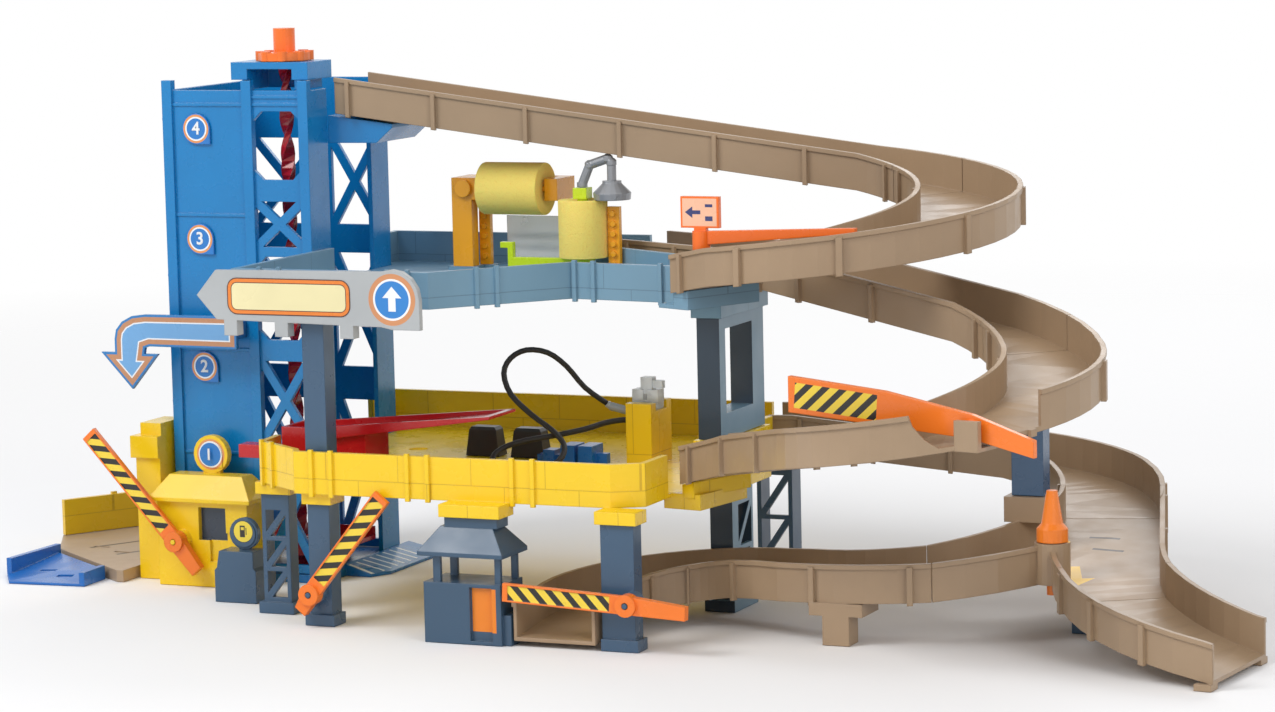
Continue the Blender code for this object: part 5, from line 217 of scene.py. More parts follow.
hose_marks = [
    Vector(mark)
    for mark in (
        (0.20780, -0.03269, 0.08770),
        (0.20375, -0.03410, 0.08754),
        (0.19738, -0.03786, 0.08656),
        (0.19043, -0.04632, 0.08443),
        (0.17885, -0.05525, 0.08224),
        (0.16727, -0.06042, 0.08033),
        (0.15801, -0.06606, 0.07787),
        (0.15395, -0.07311, 0.07433),
        (0.15627, -0.07875, 0.07078),
        (0.16437, -0.08157, 0.06832),
        (0.17422, -0.07922, 0.06777),
        (0.18290, -0.07311, 0.06941),
        (0.18696, -0.06653, 0.07351),
        (0.18522, -0.06042, 0.07897),
        (0.17769, -0.05713, 0.08497),
        (0.16611, -0.05572, 0.09207),
        (0.15511, -0.05478, 0.10135),
        (0.15019, -0.05196, 0.11118),
        (0.15222, -0.04820, 0.11828),
        (0.15916, -0.04444, 0.12210),
        (0.16843, -0.03974, 0.12046),
        (0.17596, -0.03457, 0.11336),
        (0.18348, -0.02987, 0.10244),
        (0.19275, -0.02470, 0.09425),
    )
]

hose_line = smooth_run(hose_marks, HOSE_SPANS)
hose_path = bpy.data.curves.new("wash_hose", "CURVE")
hose_path.dimensions = "3D"
hose_path.bevel_depth = HOSE_THICK / 2
hose_path.bevel_resolution = 3
hose_path.use_fill_caps = True
hose_run = hose_path.splines.new("POLY")
hose_run.points.add(len(hose_line) - 1)
for spot, point in zip(hose_run.points, hose_line):
    spot.co = (*point, 1)
choose(new_object("wash_hose", hose_path))
bpy.ops.object.convert(target="MESH")
wash_hose = bpy.context.object
edit_all()
bpy.ops.mesh.remove_doubles(threshold=0.000001)
bpy.ops.object.mode_set(mode="OBJECT")
bpy.ops.object.shade_smooth()
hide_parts("hose")
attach(wash_hose, "garage")

braid, tree, gloss = new_look("hose_braid")
gloss.inputs["Roughness"].default_value = 0.42
twill = add_node(tree, "TexWave", {"Scale": 620, "Distortion": 1.5})
twill.bands_direction = "DIAGONAL"
# Painted light: the braid's colour follows its relief, near black as painted shade in the
# grooves and a lighter painted sheen on the crowns.
groove_shade, crown_sheen = (0.004, 0.004, 0.005, 1), (0.055, 0.055, 0.06, 1)
tone = add_node(tree, "MixRGB", {"Color1": groove_shade, "Color2": crown_sheen})
relief = add_node(tree, "Bump", {"Strength": 0.7, "Distance": 0.0003})
wire(
    tree,
    (object_place(tree), twill.inputs["Vector"]),
    (twill.outputs["Fac"], tone.inputs["Fac"]),
    (tone.outputs["Color"], gloss.inputs["Base Color"]),
    (twill.outputs["Fac"], relief.inputs["Height"]),
    (relief.outputs["Normal"], gloss.inputs["Normal"]),
)
wash_hose.data.materials.append(braid)


# Injection-moulded plastic, shared by nearly every piece.
# The mould leaves a fine grain and soft edges, the colour clouds a little where
# the flow met, and handling rubs the faces to an uneven shine.
EDGE_SOFT = 0.0007
GRAIN_DEEP = 0.00004

skin, entry, leave = new_group(
    "moulded_skin",
    (("Colour", "Color"), ("Clouding", "Float"), ("Shine", "Float")),
    (("Colour", "Color"), ("Roughness", "Float"), ("Height", "Float")),
)
place = object_place(skin)
cloud = add_node(skin, "TexNoise", {"Scale": 22, "Detail": 3})
rub = add_node(skin, "TexNoise", {"Scale": 70, "Detail": 5})
grain = add_node(skin, "TexNoise", {"Scale": 1400, "Detail": 2})
for wave in (cloud, rub, grain):
    wire(skin, (place, wave.inputs["Vector"]))
cloud_range = add_node(
    skin, "MapRange", {"From Min": 0.3, "From Max": 0.7, "To Min": -1, "To Max": 1}
)
rub_range = add_node(
    skin, "MapRange", {"From Min": 0.35, "From Max": 0.7, "To Min": -0.06, "To Max": 0.09}
)
tint = add_node(skin, "HueSaturation")
lightness = maths(
    skin, "MULTIPLY_ADD", cloud_range.outputs["Result"], entry.outputs["Clouding"], 1
)
rough = maths(skin, "ADD", rub_range.outputs["Result"], entry.outputs["Shine"])
wire(
    skin,
    (cloud.outputs["Fac"], cloud_range.inputs["Value"]),
    (lightness, tint.inputs["Value"]),
    (entry.outputs["Colour"], tint.inputs["Color"]),
    (tint.outputs["Color"], leave.inputs["Colour"]),
    (rub.outputs["Fac"], rub_range.inputs["Value"]),
    (rough, leave.inputs["Roughness"]),
    (grain.outputs["Fac"], leave.inputs["Height"]),
)


def moulded(name, colour, shine=0.3, clouding=0.05, coat=0.15):
    """A plastic with the shared skin, on which prints can be painted."""
    look, tree, gloss = new_look(name)
    set_inputs(gloss, {"IOR": 1.49, "Coat Weight": coat, "Coat Roughness": 0.12})
    finish = add_group(
        tree, skin, {"Colour": (*colour, 1), "Clouding": clouding, "Shine": shine}
    )
    finish.name = "skin"
    soft = add_node(tree, "Bevel", {"Radius": EDGE_SOFT})
    soft.samples = 4
    relief = add_node(tree, "Bump", {"Strength": 0.35, "Distance": GRAIN_DEEP})
    relief.name = "relief"
    wire(
        tree,
        (finish.outputs["Colour"], gloss.inputs["Base Color"]),
        (finish.outputs["Roughness"], gloss.inputs["Roughness"]),
        (finish.outputs["Height"], relief.inputs["Height"]),
        (soft.outputs["Normal"], relief.inputs["Normal"]),
        (relief.outputs["Normal"], gloss.inputs["Normal"]),
    )
    return look


def dress(look, *names):
    """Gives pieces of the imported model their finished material."""
    for name in names:
        item = nodes[name]
        item.data.materials.clear()
        item.data.materials.append(look)


# Prints and painted patches.
# Each is a mask, one where the print lies, and a colour laid over the plastic's own.
MIX_FACTOR, MIX_UNDER, MIX_OVER = 0, 6, 7  # the mix node's inputs for colours
MIX_RESULT = 2  # and its output

# One inside the box with the given corners, else nothing.
patch, entry, leave = new_group(
    "patch",
    (("Place", "Vector"), ("Low", "Vector"), ("High", "Vector")),
    (("Mask", "Float"),),
)
low, high = entry.outputs["Low"], entry.outputs["High"]
halving = (0.5, 0.5, 0.5)
centre = vectors(patch, "MULTIPLY", vectors(patch, "ADD", low, high), halving)
half_size = vectors(patch, "MULTIPLY", vectors(patch, "SUBTRACT", high, low), halving)
away = vectors(patch, "SUBTRACT", entry.outputs["Place"], centre)
over = split_axes(
    patch, vectors(patch, "SUBTRACT", vectors(patch, "ABSOLUTE", away), half_size)
)
furthest = maths(patch, "MAXIMUM", maths(patch, "MAXIMUM", over["X"], over["Y"]), over["Z"])
wire(patch, (maths(patch, "LESS_THAN", furthest, 0), leave.inputs["Mask"]))


def paint(look, colour, mask):
    """Lays a colour over what the skin has so far, where the mask is one."""
    tree = look.node_tree
    skin_colour = tree.nodes["skin"].inputs["Colour"]
    mix = add_node(tree, "Mix")
    mix.data_type = "RGBA"
    if skin_colour.is_linked:
        wire(tree, (skin_colour.links[0].from_socket, mix.inputs[MIX_UNDER]))
    else:
        mix.inputs[MIX_UNDER].default_value = skin_colour.default_value
    mix.inputs[MIX_OVER].default_value = (*colour, 1)
    wire(tree, (mask, mix.inputs[MIX_FACTOR]), (mix.outputs[MIX_RESULT], skin_colour))


def both(look, first, second, kind="MULTIPLY"):
    """Two masks or values joined in one, by default where both are one."""
    return maths(look.node_tree, kind, first, second)


def face_normal(look, axis):
    tree = look.node_tree
    return split_axes(tree, add_node(tree, "NewGeometry").outputs["Normal"])[axis]


def paint_tops(look, colour, mask):
    """Paints only where the face looks upwards."""
    facing_up = both(look, face_normal(look, "Z"), 0.8, "GREATER_THAN")
    paint(look, colour, both(look, mask, facing_up))


def turned_place(look, pivot, along, upward_now=(0, 0, 1)):
    """Object coordinates set out from a pivot: x along the given way, z up across it."""
    tree = look.node_tree
    out = vectors(tree, "SUBTRACT", object_place(tree), pivot)
    first = Vector(along).normalized()
    second = Vector(upward_now).cross(first).normalized()
    third = first.cross(second)
    join = add_node(tree, "CombineXYZ")
    for way, axis in zip((first, second, third), "XYZ"):
        wire(tree, (vectors(tree, "DOT_PRODUCT", out, way), join.inputs[axis]))
    return join.outputs["Vector"]


def patch_mask(look, place, low, high):
    tree = look.node_tree
    field = add_group(tree, patch, {"Low": low, "High": high})
    wire(tree, (place, field.inputs["Place"]))
    return field.outputs["Mask"]


def two_patches(look, place, first, second):
    """Either of two patches, each a pair of corners."""
    return both(
        look, patch_mask(look, place, *first), patch_mask(look, place, *second), "MAXIMUM"
    )


def arrow_mask(look, place, lengths, shaft_half, head_half, sideways):
    """An arrow along x: its tail, its neck and its point, with half widths of shaft and head."""
    tail, neck, point = lengths
    overlap = 0.0001
    axes = split_axes(look.node_tree, place)
    along = axes["X"]
    off = maths(look.node_tree, "ABSOLUTE", axes[sideways])
    past_tail = both(look, along, tail, "GREATER_THAN")
    before_neck = both(look, along, neck + overlap, "LESS_THAN")
    in_shaft = both(look, past_tail, before_neck)
    in_shaft = both(look, in_shaft, both(look, off, shaft_half, "LESS_THAN"))
    taper = both(look, off, (point - neck) / head_half)
    in_head = both(look, both(look, taper, along, "ADD"), point, "LESS_THAN")
    in_head = both(look, in_head, both(look, along, neck, "GREATER_THAN"))
    return both(look, in_shaft, in_head, "MAXIMUM")


def rings(look, place, radii, colours):
    """Round prints about a place's own y axis, the widest first."""
    tree = look.node_tree
    far = vectors(tree, "LENGTH", vectors(tree, "MULTIPLY", place, (1, 0, 1)))
    for radius, colour in zip(radii, colours):
        paint(look, colour, both(look, far, radius, "LESS_THAN"))


# The lift tower's blue shells.
# Two clipped halves of glossy blue plastic: a panelled front wall beside an open
# lattice, and a back with X-braced windows between posts that stand proud.
tower_blue = moulded("tower_blue", (0.004, 0.20, 0.50), shine=0.27, clouding=0.06)
dress(tower_blue, "tower_front", "tower_back", "tower_head", "top_bracket")


# The tower's foot, with the drive-on lip.
# Darker blue, with white guide lines printed on the lip to the right of the tower.
LIP_LEFT = 0.0425
LINE_EDGE = 0.86  # the wave's height above which a line is printed

foot_blue = moulded("foot_blue", (0.008, 0.155, 0.43), shine=0.3)
foot_place = turned_place(foot_blue, (LIP_LEFT, 0, 0), (1, 0, 0))
lip = patch_mask(foot_blue, foot_place, (0.002, -0.030, -0.01), (0.018, 0.036, 0.02))
guide_lines = add_node(foot_blue.node_tree, "TexWave", {"Scale": 42, "Distortion": 0})
guide_lines.bands_direction = "Y"
wire(foot_blue.node_tree, (foot_place, guide_lines.inputs["Vector"]))
thin = both(foot_blue, guide_lines.outputs["Fac"], LINE_EDGE, "GREATER_THAN")
paint_tops(foot_blue, (0.75, 0.82, 0.88), both(foot_blue, thin, lip))
dress(foot_blue, "tower_base")

ramp_blue = moulded("ramp_blue", (0.008, 0.135, 0.47), shine=0.3)
dress(ramp_blue, "entry_ramp", "engine_block")


# The lift: a knob, its screw and the platform.
# The orange knob is ribbed for small fingers; the dark red screw and the platform
# that climbs it are of a softer red plastic.
knob_orange = moulded("knob_orange", (0.88, 0.17, 0.015), shine=0.3)
dress(knob_orange, "lift_knob")
screw_red = moulded("screw_red", (0.42, 0.006, 0.012), shine=0.25)
dress(screw_red, "lift_screw", "lift_platform")


# The tan tracks.
# Sand-brown satin channels snapped end to end, with faintly mottled walls.
TRACK_PLASTIC = {"colour": (0.36, 0.25, 0.155), "shine": 0.38, "clouding": 0.07, "coat": 0.05}

track_tan = moulded("track_tan", **TRACK_PLASTIC)
dress(
    track_tan,
    "track_1_upper",
    "track_1_lower",
    "track_2_upper",
    "track_2_lower",
    "track_3_upper",
    "track_3_left",
    "track_3_exit",
)


# The fork of the lowest track.
# The same sand-brown plastic, with a yellow arrow sticker on its floor just before
# the channel parts, and two short slots in the floor drawn as dark painted shade.
fork_tan = moulded("fork_tan", **TRACK_PLASTIC)
arrow_place = turned_place(fork_tan, (0.4455, -0.0700, 0.0), (0.35, -0.94, 0))
pointer = arrow_mask(fork_tan, arrow_place, (-0.014, 0.004, 0.013), 0.0026, 0.0085, "Y")
paint_tops(fork_tan, (0.85, 0.52, 0.02), pointer)
# The two slots are dark patches of painted shade on the floor's upward faces, not cuts.
fork_slot_shade = two_patches(
    fork_tan,
    turned_place(fork_tan, (0.447, 0.0, 0.0), (1, 0, 0)),
    ((-0.013, -0.012, 0), (0.002, -0.0095, 0.08)),
    ((-0.006, -0.030, 0), (0.009, -0.0275, 0.08)),
)
paint_tops(fork_tan, (0.05, 0.035, 0.025), fork_slot_shade)
dress(fork_tan, "track_3_fork")


# Ground pieces by the tower.
# A sand-brown plate with slots in its floor drawn as dark painted shade, where cars roll.
plate_tan = moulded("plate_tan", (0.40, 0.29, 0.19), shine=0.42, clouding=0.06, coat=0.03)
# The two slots are dark patches of painted shade on the plate's upward faces, not cuts.
plate_slot_shade = two_patches(
    plate_tan,
    turned_place(plate_tan, (-0.095, 0.0, 0.0), (0.5, 0.86, 0)),
    ((-0.02, -0.022, 0), (0.012, -0.019, 0.02)),
    ((-0.02, 0.006, 0), (0.012, 0.009, 0.02)),
)
paint_tops(plate_tan, (0.10, 0.075, 0.05), plate_slot_shade)
dress(plate_tan, "ground_plate")


# The yellow second deck and the kerb.
# A tray of glossy yellow plastic whose walls are moulded as courses of large
# blocks: one long seam at mid-height and short upright joints that step from
# course to course, their grooves darkened with painted shade.
SEAM_HALF = 0.00022
BLOCK_LONG = 0.019
COURSE_STEP = 0.017
SEAM_CUT = -6  # the seam's depth, in depths of the plastic's grain
SEAM_SHADE_STRENGTH = 0.75
BLOCK_YELLOW = (0.90, 0.60, 0.009)

courses, entry, leave = new_group(
    "wall_courses", (("Seam Height", "Float"),), (("Seam", "Float"),)
)
axes = split_axes(courses, object_place(courses))
rise = maths(courses, "SUBTRACT", axes["Z"], entry.outputs["Seam Height"])
long_seam = maths(courses, "LESS_THAN", maths(courses, "ABSOLUTE", rise), SEAM_HALF)
upper_course = maths(courses, "GREATER_THAN", rise, 0)
run_on = maths(courses, "SUBTRACT", axes["X"], axes["Y"])
stepped = maths(courses, "MULTIPLY_ADD", upper_course, COURSE_STEP, run_on)
to_joint = maths(courses, "PINGPONG", stepped, BLOCK_LONG)
short_seam = maths(courses, "LESS_THAN", to_joint, SEAM_HALF)
wire(courses, (maths(courses, "MAXIMUM", long_seam, short_seam), leave.inputs["Seam"]))


def cut_courses(look, height, dark):
    """Draws the block courses into a deck's walls, upright faces only, cutting the seams into
    the bump and darkening them with painted shade.
    """
    tree = look.node_tree
    lines = add_group(tree, courses, {"Seam Height": height})
    lean = maths(tree, "ABSOLUTE", face_normal(look, "Z"))
    mask = both(look, lines.outputs["Seam"], both(look, lean, 0.3, "LESS_THAN"))
    paint(look, dark, both(look, mask, SEAM_SHADE_STRENGTH))
    cut = maths(tree, "MULTIPLY_ADD", mask, SEAM_CUT, tree.nodes["skin"].outputs["Height"])
    wire(tree, (cut, tree.nodes["relief"].inputs["Height"]))


deck_yellow = moulded("deck_yellow", BLOCK_YELLOW, shine=0.28, clouding=0.02)
# The darker yellow laid in the seams is painted shade.
cut_courses(deck_yellow, 0.0715, (0.55, 0.33, 0.004))
dress(deck_yellow, "deck_2")
kerb_yellow = moulded("kerb_yellow", (0.80, 0.50, 0.008), shine=0.3)
# The darker yellow laid in the kerb's seams is painted shade.
cut_courses(kerb_yellow, 0.0165, (0.5, 0.3, 0.004))
dress(kerb_yellow, "curb")


# The pale steel-blue third deck.
# The same tray of block courses in a greyed blue, with a satin surface, its seams darkened with
# painted shade.
deck_blue = moulded("deck_blue", (0.165, 0.31, 0.43), shine=0.34, clouding=0.05)
cut_courses(deck_blue, 0.1565, (0.10, 0.19, 0.27))
dress(deck_blue, "deck_3")


# Columns, props and small houses in dark steel blue.
# Hollow posts with recessed faces; the gas booth carries an orange panel in a frame.
SLATE = (0.045, 0.095, 0.165)

column_slate = moulded("column_slate", SLATE, shine=0.33)
dress(
    column_slate,
    "column_front_lower",
    "column_front_upper",
    "column_slim",
    "column_rear",
    "column_corner",
    "fork_stub",
)
prop_blue = moulded("prop_blue", (0.045, 0.10, 0.19), shine=0.3)
dress(prop_blue, "prop")
booth_slate = moulded("booth_slate", (0.040, 0.085, 0.145), shine=0.35)
panel = patch_mask(
    booth_slate,
    object_place(booth_slate.node_tree),
    (0.1835, -0.170, 0.006),
    (0.1965, -0.158, 0.0265),
)
paint(booth_slate, (0.80, 0.22, 0.012), panel)
dress(booth_slate, "gas_booth")


# The portal between the decks.
# Two slate frames one above the other, their front edges stepped and darkened to
# nearly black by painted shade, their broad sides a lighter steel blue.
portal_look = moulded("portal_look", (0.17, 0.30, 0.41), shine=0.35)
# Painted shade: every face turned towards the front is darkened to nearly black.
front_face_shade = both(portal_look, face_normal(portal_look, "Y"), -0.5, "LESS_THAN")
paint(portal_look, (0.022, 0.042, 0.068), front_face_shade)
dress(portal_look, "portal_upper", "portal_lower")


# The level badges on the tower.
# Printed round stickers in a raised rim: an orange ring, a white line and a blue
# field with the level's number in white.
PRINT_WHITE = (0.85, 0.87, 0.88)
LEVEL_ORANGE, LEVEL_WHITE, LEVEL_BLUE = (0.75, 0.30, 0.10), (0.85, 0.88, 0.9), (0.02, 0.19, 0.56)
LEVEL_COLOURS = (LEVEL_ORANGE, LEVEL_WHITE, LEVEL_BLUE)
BADGE_X, BADGE_RADIUS = -0.0214, 0.0078
RING_SHARES = (0.92, 0.78, 0.68)
FIGURE_Y, FIGURE_TALL = -0.04412, 0.0088
FIGURE_WEIGHT = 0.025  # how far its outline is swelled, as a share of its height
PRINT_HALF_THICK = 0.00006

white_print = moulded("white_print", PRINT_WHITE, shine=0.35, coat=0.0)


def digit_print(digit, x, y, z, tall):
    """A printed figure, a tenth of a millimetre thick, standing on the face at y."""
    deselect_all()
    bpy.ops.object.text_add(location=(x, y, z), rotation=(math.pi / 2, 0, 0))
    figure = bpy.context.object
    figure.name = "figure_" + digit
    figure.data.body = digit
    figure.data.size = tall
    figure.data.align_x = "CENTER"
    figure.data.align_y = "CENTER"
    figure.data.offset = tall * FIGURE_WEIGHT
    figure.data.extrude = PRINT_HALF_THICK
    figure.data.resolution_u = 4
    bpy.ops.object.convert(target="MESH")
    bpy.ops.object.transform_apply(location=True, rotation=True, scale=True)
    figure = bpy.context.object
    figure.data.materials.clear()
    figure.data.materials.append(white_print)
    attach(figure, "garage")


for digit, z in (("4", 0.2292), ("3", 0.1735), ("2", 0.1085)):
    name = "badge_" + digit
    look = moulded("look_" + name, LEVEL_BLUE, shine=0.25)
    spot = turned_place(look, (BADGE_X, 0, z), (1, 0, 0))
    rings(look, spot, [BADGE_RADIUS * share for share in RING_SHARES], LEVEL_COLOURS)
    dress(look, name)
    digit_print(digit, BADGE_X, FIGURE_Y, z, FIGURE_TALL)


# The ticket booth at the tower's foot.
# A yellow house with a hipped roof, a dark window and an orange panel, and the
# ground level's round badge on its roof.
HOUSE_LEFT, HOUSE_WIDE, HOUSE_TALL = -0.0379, 0.0515, 0.0435
DISC_X, DISC_Z = -0.01318, 0.0655

house_yellow = moulded("house_yellow", BLOCK_YELLOW, shine=0.28)
house_place = object_place(house_yellow.node_tree)
pane = patch_mask(
    house_yellow,
    house_place,
    (HOUSE_LEFT + HOUSE_WIDE * 0.46, -0.0690, HOUSE_TALL * 0.55),
    (HOUSE_LEFT + HOUSE_WIDE * 0.76, -0.0640, HOUSE_TALL * 0.93),
)
paint(house_yellow, (0.035, 0.05, 0.075), pane)
hatch = patch_mask(
    house_yellow,
    house_place,
    (HOUSE_LEFT + HOUSE_WIDE * 0.80, -0.0700, 0.0),
    (HOUSE_LEFT + HOUSE_WIDE, -0.0600, HOUSE_TALL * 0.45),
)
paint(house_yellow, (0.80, 0.20, 0.012), hatch)
disc_place = turned_place(house_yellow, (DISC_X, -0.0574, DISC_Z), (1, 0, 0))
rings(house_yellow, disc_place, (0.0079, 0.0068, 0.0060), LEVEL_COLOURS)
digit_print("1", DISC_X, -0.05752, DISC_Z, 0.0080)
dress(house_yellow, "ground_booth")


# The barriers.
# Orange arms with a sunken panel that carries yellow and black hazard stripes.
STRIPE_PITCH, STRIPE_DARK = 0.0085, 0.0040
PANEL_REACH = 0.03
PANEL_START, PANEL_HALF = 0.0083, 0.0034


def striped(name, pivot, tip, end, lean, start=PANEL_START, half=PANEL_HALF):
    """An arm from pivot to tip; start and end are the panel's distances from the pivot."""
    look = moulded("look_" + name, (0.88, 0.19, 0.015), shine=0.3)
    place = turned_place(look, pivot, Vector(tip) - Vector(pivot))
    panel = patch_mask(look, place, (start, -PANEL_REACH, -half), (end, PANEL_REACH, half))
    axes = split_axes(look.node_tree, place)
    slant = both(look, both(look, axes["Z"], lean), axes["X"], "ADD")
    wrap = both(look, slant, STRIPE_PITCH, "FLOORED_MODULO")
    dark = both(look, wrap, STRIPE_DARK, "LESS_THAN")
    paint(look, (0.85, 0.62, 0.05), panel)
    paint(look, (0.018, 0.016, 0.014), both(look, dark, panel))
    dress(look, name)


striped(
    "barrier_left",
    pivot=(-0.0239, -0.0752, 0.0238),
    tip=(-0.0718, -0.0752, 0.07685),
    end=0.0690,
    lean=1.0,
)
striped(
    "barrier_front",
    pivot=(0.0929, -0.1513, 0.0165),
    tip=(0.1325, -0.1513, 0.0649),
    end=0.0600,
    lean=1.0,
)
striped(
    "barrier_exit",
    pivot=(0.2636, -0.1672, 0.0232),
    tip=(0.2017, -0.1672, 0.0262),
    end=0.0594,
    lean=-1.0,
)
striped(
    "gate_lower",
    pivot=(0.4411, -0.2007, 0.1181),
    tip=(0.3430, -0.18125, 0.1256),
    end=0.089,
    lean=1.0,
    start=0.047,
    half=0.0056,
)


# The upper gate with its small notice.
# A plain orange arm on a hub; the plate over the hub carries a peach print with a
# dark arrow and two dark bars.
NOTICE_INK = (0.035, 0.045, 0.16)

gate_orange = moulded("gate_orange", (0.90, 0.16, 0.010), shine=0.3)
notice = turned_place(gate_orange, (0.2771, -0.1027, 0.19665), (-1, 0.06, 0))
field = patch_mask(gate_orange, notice, (-0.0085, -0.01, -0.0064), (0.0085, 0.01, 0.0064))
paint(gate_orange, (0.88, 0.50, 0.33), field)
pointer = arrow_mask(gate_orange, notice, (-0.0005, 0.0035, 0.0072), 0.0009, 0.0027, "Z")
paint(gate_orange, NOTICE_INK, pointer)
bars = two_patches(
    gate_orange,
    notice,
    ((-0.0065, -0.01, 0.0024), (-0.0028, 0.01, 0.0038)),
    ((-0.0065, -0.01, -0.0040), (-0.0028, 0.01, -0.0018)),
)
paint(gate_orange, NOTICE_INK, bars)
dress(gate_orange, "gate_upper")


# The turning marker at the fork.
# An orange cone with a fin, dropped over a pin.
marker_orange = moulded("marker_orange", (0.90, 0.22, 0.015), shine=0.3)
dress(marker_orange, "cone_marker")


# The tipping ramp on the second deck.
# A deep red tray on two black stands; it rocks when a car crosses it.
ramp_red = moulded("ramp_red", (0.52, 0.010, 0.014), shine=0.24)
dress(ramp_red, "tip_ramp")
stand_black = moulded("stand_black", (0.018, 0.016, 0.015), shine=0.45)
dress(stand_black, "black_stand_left", "black_stand_right")


# The nozzle and the clear engine on the pillar.
# The nozzle is pale grey; the see-through engine block is rippled, so that it
# catches the light.
nozzle_grey = moulded("nozzle_grey", (0.50, 0.53, 0.55), shine=0.28)
dress(nozzle_grey, "nozzle")
clear_look, tree, gloss = new_look("clear_look")
set_inputs(
    gloss, {"Base Color": (0.80, 0.83, 0.85, 1), "Transmission Weight": 0.55, "IOR": 1.4}
)
ripple = add_node(tree, "TexNoise", {"Scale": 260})
relief = add_node(tree, "Bump", {"Strength": 0.5, "Distance": 0.0004})
haze = add_node(tree, "MapRange", {"To Min": 0.08, "To Max": 0.3})
wire(
    tree,
    (object_place(tree), ripple.inputs["Vector"]),
    (ripple.outputs["Fac"], relief.inputs["Height"]),
    (ripple.outputs["Fac"], haze.inputs["Value"]),
    (haze.outputs["Result"], gloss.inputs["Roughness"]),
    (relief.outputs["Normal"], gloss.inputs["Normal"]),
)
dress(clear_look, "clear_motor")


# The car wash on the third deck.
# A golden orange gantry and stud strips, a lime lever, a grey shower head and a
# milky screen behind.
wash_amber = moulded("wash_amber", (0.88, 0.38, 0.012), shine=0.27, clouding=0.08)
dress(wash_amber, "wash_frame", "stud_strip_left", "stud_strip_right")
lever_lime = moulded("lever_lime", (0.56, 0.74, 0.010), shine=0.26)
dress(lever_lime, "wash_lever")
shower_grey = moulded("shower_grey", (0.30, 0.31, 0.33), shine=0.3)
set_inputs(shower_grey.node_tree.nodes["Principled BSDF"], {"Metallic": 0.35})
dress(shower_grey, "shower")
milky = moulded("milky_screen", (0.90, 0.92, 0.93), shine=0.2)
set_inputs(milky.node_tree.nodes["Principled BSDF"], {"Transmission Weight": 0.4})
dress(milky, "wash_screen")


# The two washing rollers.
# Cut from pale yellow open-celled sponge, soft at the rims, and pushed over pegs.
SPONGE_SHY = 0.985  # the sponge's share of the solid's thickness and length
SPONGE_ROUNDING = 0.0016
END_HOLLOW = 0.0012  # how far the middle of an end lies in
END_VERTICES = 20  # a face with more vertices than this is an end
HOLLOW_INSETS = (0.32, 0.28)  # shares of the radius, from the rim inwards
SWELL = 0.006

sponge, tree, gloss = new_look("sponge")
set_inputs(gloss, {"Subsurface Weight": 0.25, "Subsurface Scale": 0.004})
place = object_place(tree)
cells = add_node(tree, "TexVoronoi", {"Scale": 1500})
fluff = add_node(tree, "TexNoise", {"Scale": 620, "Detail": 6})
pores = maths(tree, "MULTIPLY_ADD", cells.outputs["Distance"], 0.7, fluff.outputs["Fac"])
# The colour follows the pores, darker in the pits and paler on the ridges, as painted shade.
tone = add_node(tree, "ValToRGB")
for element, position, colour in zip(
    tone.color_ramp.elements, (0.25, 0.75), ((0.88, 0.56, 0.085, 1), (0.97, 0.75, 0.18, 1))
):
    element.position = position
    element.color = colour
dull = add_node(tree, "MapRange", {"To Min": 0.8, "To Max": 0.98})
relief = add_node(tree, "Bump", {"Strength": 0.6, "Distance": 0.0004})
wire(
    tree,
    (place, cells.inputs["Vector"]),
    (place, fluff.inputs["Vector"]),
    (pores, tone.inputs["Fac"]),
    (tone.outputs["Color"], gloss.inputs["Base Color"]),
    (pores, dull.inputs["Value"]),
    (dull.outputs["Result"], gloss.inputs["Roughness"]),
    (pores, relief.inputs["Height"]),
    (relief.outputs["Normal"], gloss.inputs["Normal"]),
)


def sponge_roller(name, node, body, along):
    """A closed sponge cylinder in the solid's box, hollow-ended and a little uneven."""
    low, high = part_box(node)
    low, high = Vector(low), Vector(high)
    middle, span = (low + high) / 2, high - low
    long, thick = (span.x, span.z) if along == "x" else (span.z, span.x)
    radius = thick / 2
    deselect_all()
    bpy.ops.mesh.primitive_cylinder_add(
        vertices=96, radius=radius * SPONGE_SHY, depth=long * SPONGE_SHY, location=(0, 0, 0)
    )
    roller = bpy.context.object
    roller.name = name
    edit_all()
    bpy.ops.mesh.bevel(
        offset=SPONGE_ROUNDING, segments=4, affect="EDGES", clamp_overlap=True
    )
    bpy.ops.object.mode_set(mode="OBJECT")
    drawing = bmesh.new()
    drawing.from_mesh(roller.data)
    ends = [face for face in drawing.faces if len(face.verts) > END_VERTICES]
    for end in ends:
        for share in HOLLOW_INSETS:
            bmesh.ops.inset_region(drawing, faces=[end], thickness=radius * share)
        for corner in end.verts:
            corner.co.z -= math.copysign(END_HOLLOW, corner.co.z)
    for corner in drawing.verts:
        angle = math.atan2(corner.co.y, corner.co.x)
        far = math.hypot(corner.co.x, corner.co.y)
        if far > radius * 0.9:
            waves = math.sin(angle * 5 + corner.co.z * 300) + math.sin(angle * 9 + 1)
            swell = 1 - SWELL * waves**2 / 4
            corner.co.x *= swell
            corner.co.y *= swell
    drawing.to_mesh(roller.data)
    drawing.free()
    turn = Matrix.Rotation(math.pi / 2, 4, "Y") if along == "x" else Matrix.Identity(4)
    roller.data.transform(Matrix.Translation(middle) @ turn)
    roller.data.materials.clear()
    roller.data.materials.append(sponge)
    choose(roller)
    bpy.ops.object.shade_smooth_by_angle(angle=math.radians(40))
    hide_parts(node)
    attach(roller, body)


sponge_roller("top_sponge", "roller_horizontal", "top_roller", "x")
sponge_roller("side_sponge", "roller_vertical", "side_roller", "z")


# The fuel pump.
# A slate-blue cabinet with a round yellow sign on its stalk, marked with a plain
# pump outline.
PUMP_YELLOW = (0.86, 0.66, 0.06)

